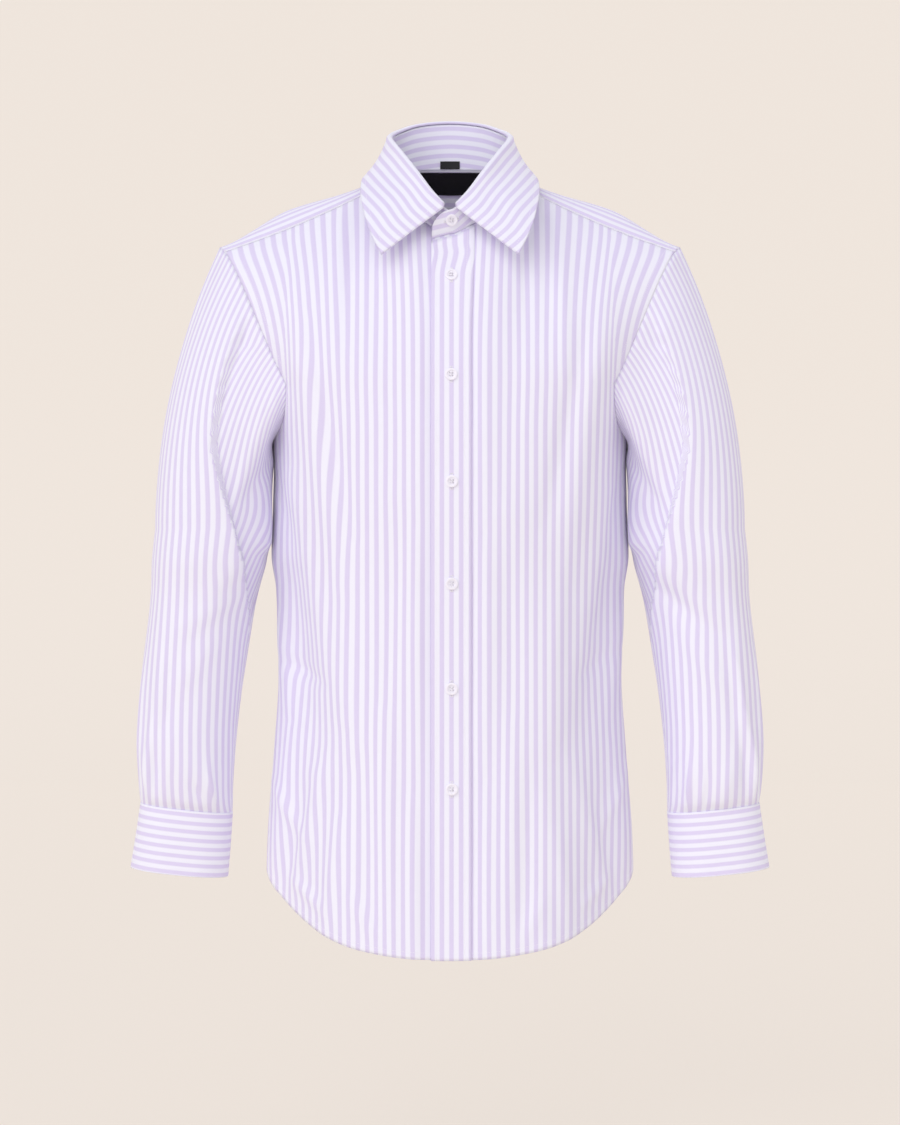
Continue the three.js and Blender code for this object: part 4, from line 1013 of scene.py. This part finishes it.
def stitchRow(places, normals, lift):  # short raised stitches along a line
    lengths = lengthsOf(places)
    starts = np.arange(stitch["start"], lengths[-1] - stitch["pitch"], stitch["pitch"])
    turn = np.radians([0, 60, 120, 180, 240, 300])
    rings = []
    for along, wide in stitch["profile"]:
        mark = starts + along * stitch["share"] * stitch["pitch"]
        centre, normal = readRows(mark, lengths, places), readRows(mark, lengths, normals)
        ahead = readRows(mark + 0.3, lengths, places) - readRows(mark - 0.3, lengths, places)
        ahead /= np.maximum(np.linalg.norm(ahead, axis=1, keepdims=True), 1e-9)
        normal /= np.linalg.norm(normal, axis=1, keepdims=True)
        centre = centre + normal * (lift + (stitch["sink"] if wide < 1 else 0))
        rings.append(ringsRound(centre, np.cross(ahead, normal), normal, stitch["radius"] * wide, turn))
    corners = np.stack(rings, axis=1).reshape(-1, 3)
    one = tubeFaces(4, 6) + [(5, 4, 3, 2, 1, 0), (18, 19, 20, 21, 22, 23)]
    return corners, [tuple(24 * n + k for k in face) for n in range(len(starts)) for face in one]


def lineOnGrid(grid, normals, rowsPart, columnsPart):  # a line across a grid, at whole or part rows and columns
    i, j = np.broadcast_arrays(np.asarray(rowsPart, float), np.asarray(columnsPart, float))
    i0 = np.clip(np.floor(i).astype(int), 0, grid.shape[0] - 2)
    j0 = np.clip(np.floor(j).astype(int), 0, grid.shape[1] - 2)
    fi, fj = (i - i0)[:, None], (j - j0)[:, None]
    return [lerp(lerp(g[i0, j0], g[i0, j0 + 1], fj), lerp(g[i0 + 1, j0], g[i0 + 1, j0 + 1], fj), fi)
            for g in (grid, normals)]


def rowFromEdge(grid, distance, end):  # each column's part row at a distance from its first or last row
    walked = grid if end == "first" else grid[::-1]
    lengths = alongColumns(walked)
    at = np.array([np.interp(distance, lengths[:, j], np.arange(len(walked))) for j in range(grid.shape[1])])
    return at if end == "first" else len(grid) - 1 - at


def columnFromEdge(grid, distance, end):
    return rowFromEdge(np.swapaxes(grid, 0, 1), distance, end)


print("materials and pieces defined")
frontLeft, frontLeftPlaces, frontLeftAcross = frontPiece("left")
frontRight, frontRightPlaces, _ = frontPiece("right")
back, backHalf, backPlaces = backPiece()
yoke, yokeHalf, yokePlaces = yokePiece()
frontHalf, _ = bodyHalf("front", frontHem, frontChestShare, frontTop, frontChestRun, frontTopRuns)
armLoop, armAngles = armholeLoop(frontHalf, yokeHalf, backHalf)
print("body made")
sleeves, sleeveGrids = {}, {}
for side in ("left", "right"):
    sleeves[side], sleeveGrids[side] = sleevePiece(side, armLoop, armAngles)
sleevePlackets, sleevePlacketGrids = {}, {}
for side in sleeves:
    sleevePlackets[side], sleevePlacketGrids[side] = sleevePlacketPiece(side, sleeveGrids[side])
cuffs, cuffGrids = {}, {}
for side in sleeves:
    cuffs[side], cuffGrids[side] = cuffPiece(side)
print("sleeves and cuffs made")
stand, standGrid = standPiece()
leaf, leafPlaces = leafPiece()
placket, placketGrid, placketNormals = placketPiece(frontLeftPlaces, frontLeftAcross)
neckLabel, sizeTab = neckLabels(yokePlaces, standGrid)
print("collar, placket and labels made")

pattern = buttonPattern()
buttons, threads = {}, {}


def placeButton(name, grid, normals, wall, upward):
    low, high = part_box(name)
    centre = (np.array(low) + np.array(high)) / 2 / mm
    near = np.argmin(np.linalg.norm(grid - centre, axis=-1))
    normal = normals.reshape(-1, 3)[near]
    base = grid.reshape(-1, 3)[near]
    offset = centre - base
    place = base + offset - normal * np.dot(offset, normal) + normal * (wall / 2)
    frame34 = frameAt(place, normal, upward)
    buttons[name], threads[name] = sewnButton("shirt_" + name, pattern, frame34, buttonSizes["shank"])


def outward(grid, centre):
    return facing(normalsOf(grid), grid, centre)


frontButtons = 6
cuffCentre = {"left": (260, -16), "right": (-260, -16)}
sleeveCentre = {"left": (240, -4), "right": (-240, -4)}
for k in range(frontButtons):
    placeButton(f"button_front_{k + 1}", placketGrid, placketNormals, cloth["panelThickness"], (0, 0, 1))
standNormals = normalsOf(standGrid)
standNormals = standNormals if standNormals[10, 16, 1] < 0 else -standNormals
placeButton("button_collar", standGrid[:, :60], standNormals[:, :60], cloth["collarThickness"], (0, 0, 1))
cuffNormals = {side: outward(grid, cuffCentre[side]) for side, grid in cuffGrids.items()}
for side, grid in cuffGrids.items():
    placeButton(f"button_cuff_{side}", grid, cuffNormals[side], cloth["collarThickness"], (0, 0, 1))
bpy.data.objects.remove(pattern, do_unlink=True)
print("buttons sewn on")


# Sewing
sewing = {"hem": 6.5, "armhole": 9.0, "seam": 1.8, "fell": 6.8, "collar": 6.0, "cuff": 6.0, "placket": 6.0}
stitching = {}


class Sewer:  # gathers the stitch lines of one piece
    def __init__(self, obj, grid, normals, thickness):
        self.obj, self.grid, self.normals = obj, grid, normals
        self.lift, self.parts = thickness / 2 + 0.03, []

    def line(self, rowsPart, columnsPart):
        places, normals = lineOnGrid(self.grid, self.normals, rowsPart, columnsPart)
        self.parts.append(stitchRow(places, normals, self.lift))

    def alongHem(self, distance, end="first", columns=None):
        at = rowFromEdge(self.grid, distance, end)
        columns = np.arange(self.grid.shape[1]) if columns is None else columns
        self.line(at[columns], columns)

    def alongSide(self, distance, end="last", rows=None):
        at = columnFromEdge(self.grid, distance, end)
        rows = np.arange(self.grid.shape[0]) if rows is None else rows
        self.line(rows, at[rows])

    def finish(self):
        stitching[self.obj.name] = meshObject(self.obj.name + "_stitching", self.parts, threadCotton)


armRows = np.arange(rowCounts["low"] - 1, rowCounts["low"] + rowCounts["scoop"] + rowCounts["high"] + 1)
sideRows = np.arange(rowCounts["low"] - 1)
for obj, grid in ((frontLeft, frontLeftPlaces), (frontRight, frontRightPlaces)):
    sewer = Sewer(obj, grid, outward(grid, (0, 0)), cloth["panelThickness"])
    sewer.alongHem(sewing["hem"])
    sewer.alongSide(sewing["armhole"], rows=armRows)
    sewer.alongSide(sewing["seam"], rows=sideRows)
    sewer.finish()

sewer = Sewer(back, backPlaces, outward(backPlaces, (0, 0)), cloth["panelThickness"])
sewer.alongHem(sewing["hem"])
for end in ("first", "last"):
    sewer.alongSide(sewing["armhole"], end, armRows)
    sewer.alongSide(sewing["seam"], end, sideRows)
sewer.finish()

sewer = Sewer(yoke, yokePlaces, outward(yokePlaces, (0, 0)), cloth["panelThickness"])
sewer.alongHem(sewing["seam"])
shoulder = np.nonzero(halfColumns >= yokeNeckWidth)[0]
sewer.alongHem(sewing["seam"], "last", len(halfColumns) - 1 + shoulder)
sewer.alongHem(sewing["seam"], "last", len(halfColumns) - 1 - shoulder)
for end in ("first", "last"):
    sewer.alongSide(sewing["armhole"], end)
sewer.finish()

sewer = Sewer(placket, placketGrid, placketNormals, cloth["panelThickness"])
for reach in (placketEdges["left"] + sewing["placket"], placketEdges["right"] - sewing["placket"]):
    column = np.interp(reach, placketReach, np.arange(len(placketReach)))
    sewer.line(np.arange(len(placketGrid)), np.full(len(placketGrid), column))
sewer.finish()

sewer = Sewer(stand, standGrid, standNormals, cloth["collarThickness"])
sewer.alongHem(sewing["seam"])
sewer.alongSide(sewing["seam"] + 0.6, "first", np.arange(1, len(standGrid) - 1))
sewer.finish()

leafNormals = normalsOf(leafPlaces)
leafNormals = leafNormals if leafNormals[20, 80, 1] > 0 else -leafNormals
sewer = Sewer(leaf, leafPlaces, leafNormals, cloth["collarThickness"])
ends = [columnFromEdge(leafPlaces, sewing["collar"], end) for end in ("first", "last")]
edgeRow = rowFromEdge(leafPlaces, sewing["collar"], "last")
inside = np.arange(int(ends[0][-4]) + 1, int(ends[1][-4]))
fall = np.arange(7, int(edgeRow[8]) + 1)
sewer.line(edgeRow[inside], inside)
sewer.line(fall, ends[0][fall])
sewer.line(fall, ends[1][fall])
sewer.finish()

for side, grid in sleeveGrids.items():
    normals = facing(normalsOf(grid, True), grid, sleeveCentre[side])
    sewer = Sewer(sleeves[side], grid, normals, cloth["panelThickness"])
    rows = np.arange(3, len(grid) - 1)
    sewer.alongSide(sewing["seam"], "first", rows)
    sewer.alongSide(sewing["fell"], "first", rows)
    sewer.finish()
    grid = cuffGrids[side]
    sewer = Sewer(cuffs[side], grid, cuffNormals[side], cloth["collarThickness"])
    sewer.alongHem(sewing["seam"])
    sewer.alongHem(sewing["cuff"], "last")
    sewer.alongSide(sewing["cuff"], "last", np.arange(3, len(grid) - 5))
    sewer.finish()
    obj, grid, normals = sleevePlackets[side], *sleevePlacketGrids[side]
    sewer = Sewer(obj, grid, normals, cloth["panelThickness"])
    middleRows = np.arange(2, len(grid))
    sewer.alongSide(sewing["seam"], "first", middleRows)
    sewer.alongSide(sewing["seam"], "last", middleRows)
    for at in (17, 20):
        sewer.line(np.full(21, at), np.linspace(2.5, grid.shape[1] - 3.5, 21))
    sewer.finish()
print("seams stitched")


def onto(grid, normals, places, lift):  # places moved onto a piece
    moved = []
    flat, flatNormals = grid.reshape(-1, 3), normals.reshape(-1, 3)
    for place in places:
        near = np.argmin(np.sum((flat - place) ** 2, axis=1))
        normal = flatNormals[near]
        moved.append(place + normal * (lift - np.dot(place - flat[near], normal)))
    return np.array(moved)


def buttonhole(button, grid, normals, thickness, along):  # a satin-stitched slit under a button
    corners = np.array([v.co for v in button.data.vertices]) / mm
    centre = corners.mean(axis=0)
    near = np.argmin(np.linalg.norm(grid - centre, axis=-1))
    normal = normals.reshape(-1, 3)[near]
    along = np.array(along, float) - normal * np.dot(along, normal)
    along /= np.linalg.norm(along)
    side = np.cross(along, normal)
    parts = []
    for mark in np.arange(-7.2, 7.21, 0.42):
        for way in (-1, 1):
            line = [centre + along * mark + side * way * w for w in (0.12, 0.75, 1.35)]
            parts.append(threadTube(onto(grid, normals, line, thickness / 2 + 0.06), 0.2, 5))
    for end in (-7.5, 7.5):
        line = [centre + along * end + side * w for w in (-1.4, 0, 1.4)]
        parts.append(threadTube(onto(grid, normals, line, thickness / 2 + 0.08), 0.3, 5))
    return parts


panelWall, collarWall = cloth["panelThickness"], cloth["collarThickness"]
holes = {placket: [], stand: []}
for k in range(frontButtons):
    button = buttons[f"button_front_{k + 1}"]
    holes[placket] += buttonhole(button, placketGrid, placketNormals, panelWall, (0, 0, 1))
overTab = slice(0, 60)  # the stand's columns over the button
holes[stand] += buttonhole(buttons["button_collar"], standGrid[:, overTab], standNormals[:, overTab],
                           collarWall, (1, 0.2, 0.28))
for side, grid in cuffGrids.items():
    button = buttons[f"button_cuff_{side}"]
    holes[cuffs[side]] = buttonhole(button, grid, cuffNormals[side], collarWall, (1, 0.1, 0))
buttonholes = {obj: meshObject(obj.name + "_buttonholes", parts, threadCotton)
               for obj, parts in holes.items()}
print("buttonholes worked")


camera = bpy.data.objects.new("camera", bpy.data.cameras.new("camera"))
bpy.context.scene.collection.objects.link(camera)
camera.location = (0, -2.2, -0.377)
camera.rotation_euler = (math.pi / 2, 0, 0)
camera.data.sensor_fit = "VERTICAL"
camera.data.sensor_height = 36
camera.data.lens = 71.84
bpy.context.scene.camera = camera


def softSun(name, place, spread, strength):  # a wide, far studio light shining from a place to the middle
    light = bpy.data.lights.new(name, "SUN")
    light.angle = math.radians(spread)
    light.energy = strength
    obj = bpy.data.objects.new(name, light)
    obj.rotation_euler = (-Vector(place)).to_track_quat("-Z", "Y").to_euler()
    bpy.context.scene.collection.objects.link(obj)


softSun("key", (-0.7, -1.15, 0.75), 65, 1.36)
softSun("fill", (1.3, -1.0, 0.4), 80, 0.5)
softSun("behind", (0.5, 1.0, 1.2), 60, 0.4)

world = bpy.data.worlds.new("studio")
world.use_nodes = True
world.node_tree.nodes["Background"].inputs[0].default_value = hex2linear(colours["light"])
world.node_tree.nodes["Background"].inputs[1].default_value = 0.53
bpy.context.scene.world = world
bpy.context.scene.view_settings.view_transform = "Standard"


backdrop = {"front": -14, "bend": 3.6, "radius": 1.2, "height": 7, "halfWidth": 14, "drop": 0.96}  # metres


def backdropSweep():  # a floor that curves up into a wall
    sizes = backdrop
    turn = np.linspace(0.1, math.pi / 2, 12)
    bend, radius, wide = sizes["bend"], sizes["radius"], sizes["halfWidth"]
    curve = [(bend + radius * math.sin(a), radius * (1 - math.cos(a))) for a in turn]
    profile = [(sizes["front"], 0), (bend, 0)] + curve + [(curve[-1][0], sizes["height"])]
    mesh = bpy.data.meshes.new("studio_sweep")
    places = [(x, y, z - sizes["drop"]) for y, z in profile for x in (-wide, wide)]
    mesh.from_pydata(places, [], [(2 * k, 2 * k + 1, 2 * k + 3, 2 * k + 2) for k in range(len(profile) - 1)])
    mesh.polygons.foreach_set("use_smooth", [True] * len(mesh.polygons))
    paper = plainMaterial("studio_paper", "backdrop", 0.95, 0.1)  # glows a little, so that it stays even
    shader = paper.node_tree.nodes["Principled BSDF"]
    paperColour = hex2linear(colours["backdrop"])
    shader.inputs["Emission Color"].default_value = paperColour
    shader.inputs["Emission Strength"].default_value = 0.8
    shader.inputs["Base Color"].default_value = tuple(0.2 * v for v in paperColour[:3]) + (1,)
    mesh.materials.append(paper)
    obj = bpy.data.objects.new("studio_sweep", mesh)
    bpy.context.scene.collection.objects.link(obj)


backdropSweep()

# Each piece's node in the frame, its flat cut, how it is held and its area in square metres
declared = [
    (frontLeft, "front_left", (0.265, 0.79), "hung", 0.168),
    (frontRight, "front_right", (0.28, 0.79), "hung", 0.168),
    (back, "back", (0.52, 0.72), "hung", 0.28),
    (yoke, "yoke", (0.47, 0.175), "draped", 0.062),
    (stand, "collar_stand", (0.43, 0.045), "folded", 0.0182),
    (leaf, "collar_leaf", (0.43, 0.075), "folded", 0.0315),
    (placket, "placket", (0.037, 0.69), "hung", 0.0253),
]
for side in ("left", "right"):
    declared.append((sleeves[side], f"sleeve_{side}", (0.4, 0.59), "hung", 0.173))
    declared.append((sleevePlackets[side], f"sleeve_placket_{side}", (0.025, 0.15), "hung", 0.00375))
    declared.append((cuffs[side], f"cuff_{side}", (0.27, 0.062), "folded", 0.0167))
declared.append((neckLabel, "neck_label", (0.066, 0.028), "laid", 0.00175))
for obj, node, flat, held, area in declared:
    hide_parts(node)
    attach(obj, "root")
    trims = [trim for trim in (stitching.get(obj.name), buttonholes.get(obj)) if trim]
    for trim in trims:
        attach(trim, "root")
for node, obj in [("size_tab", sizeTab)] + list(buttons.items()):
    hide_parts(node)
    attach(obj, "root")
for obj in threads.values():
    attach(obj, "root")
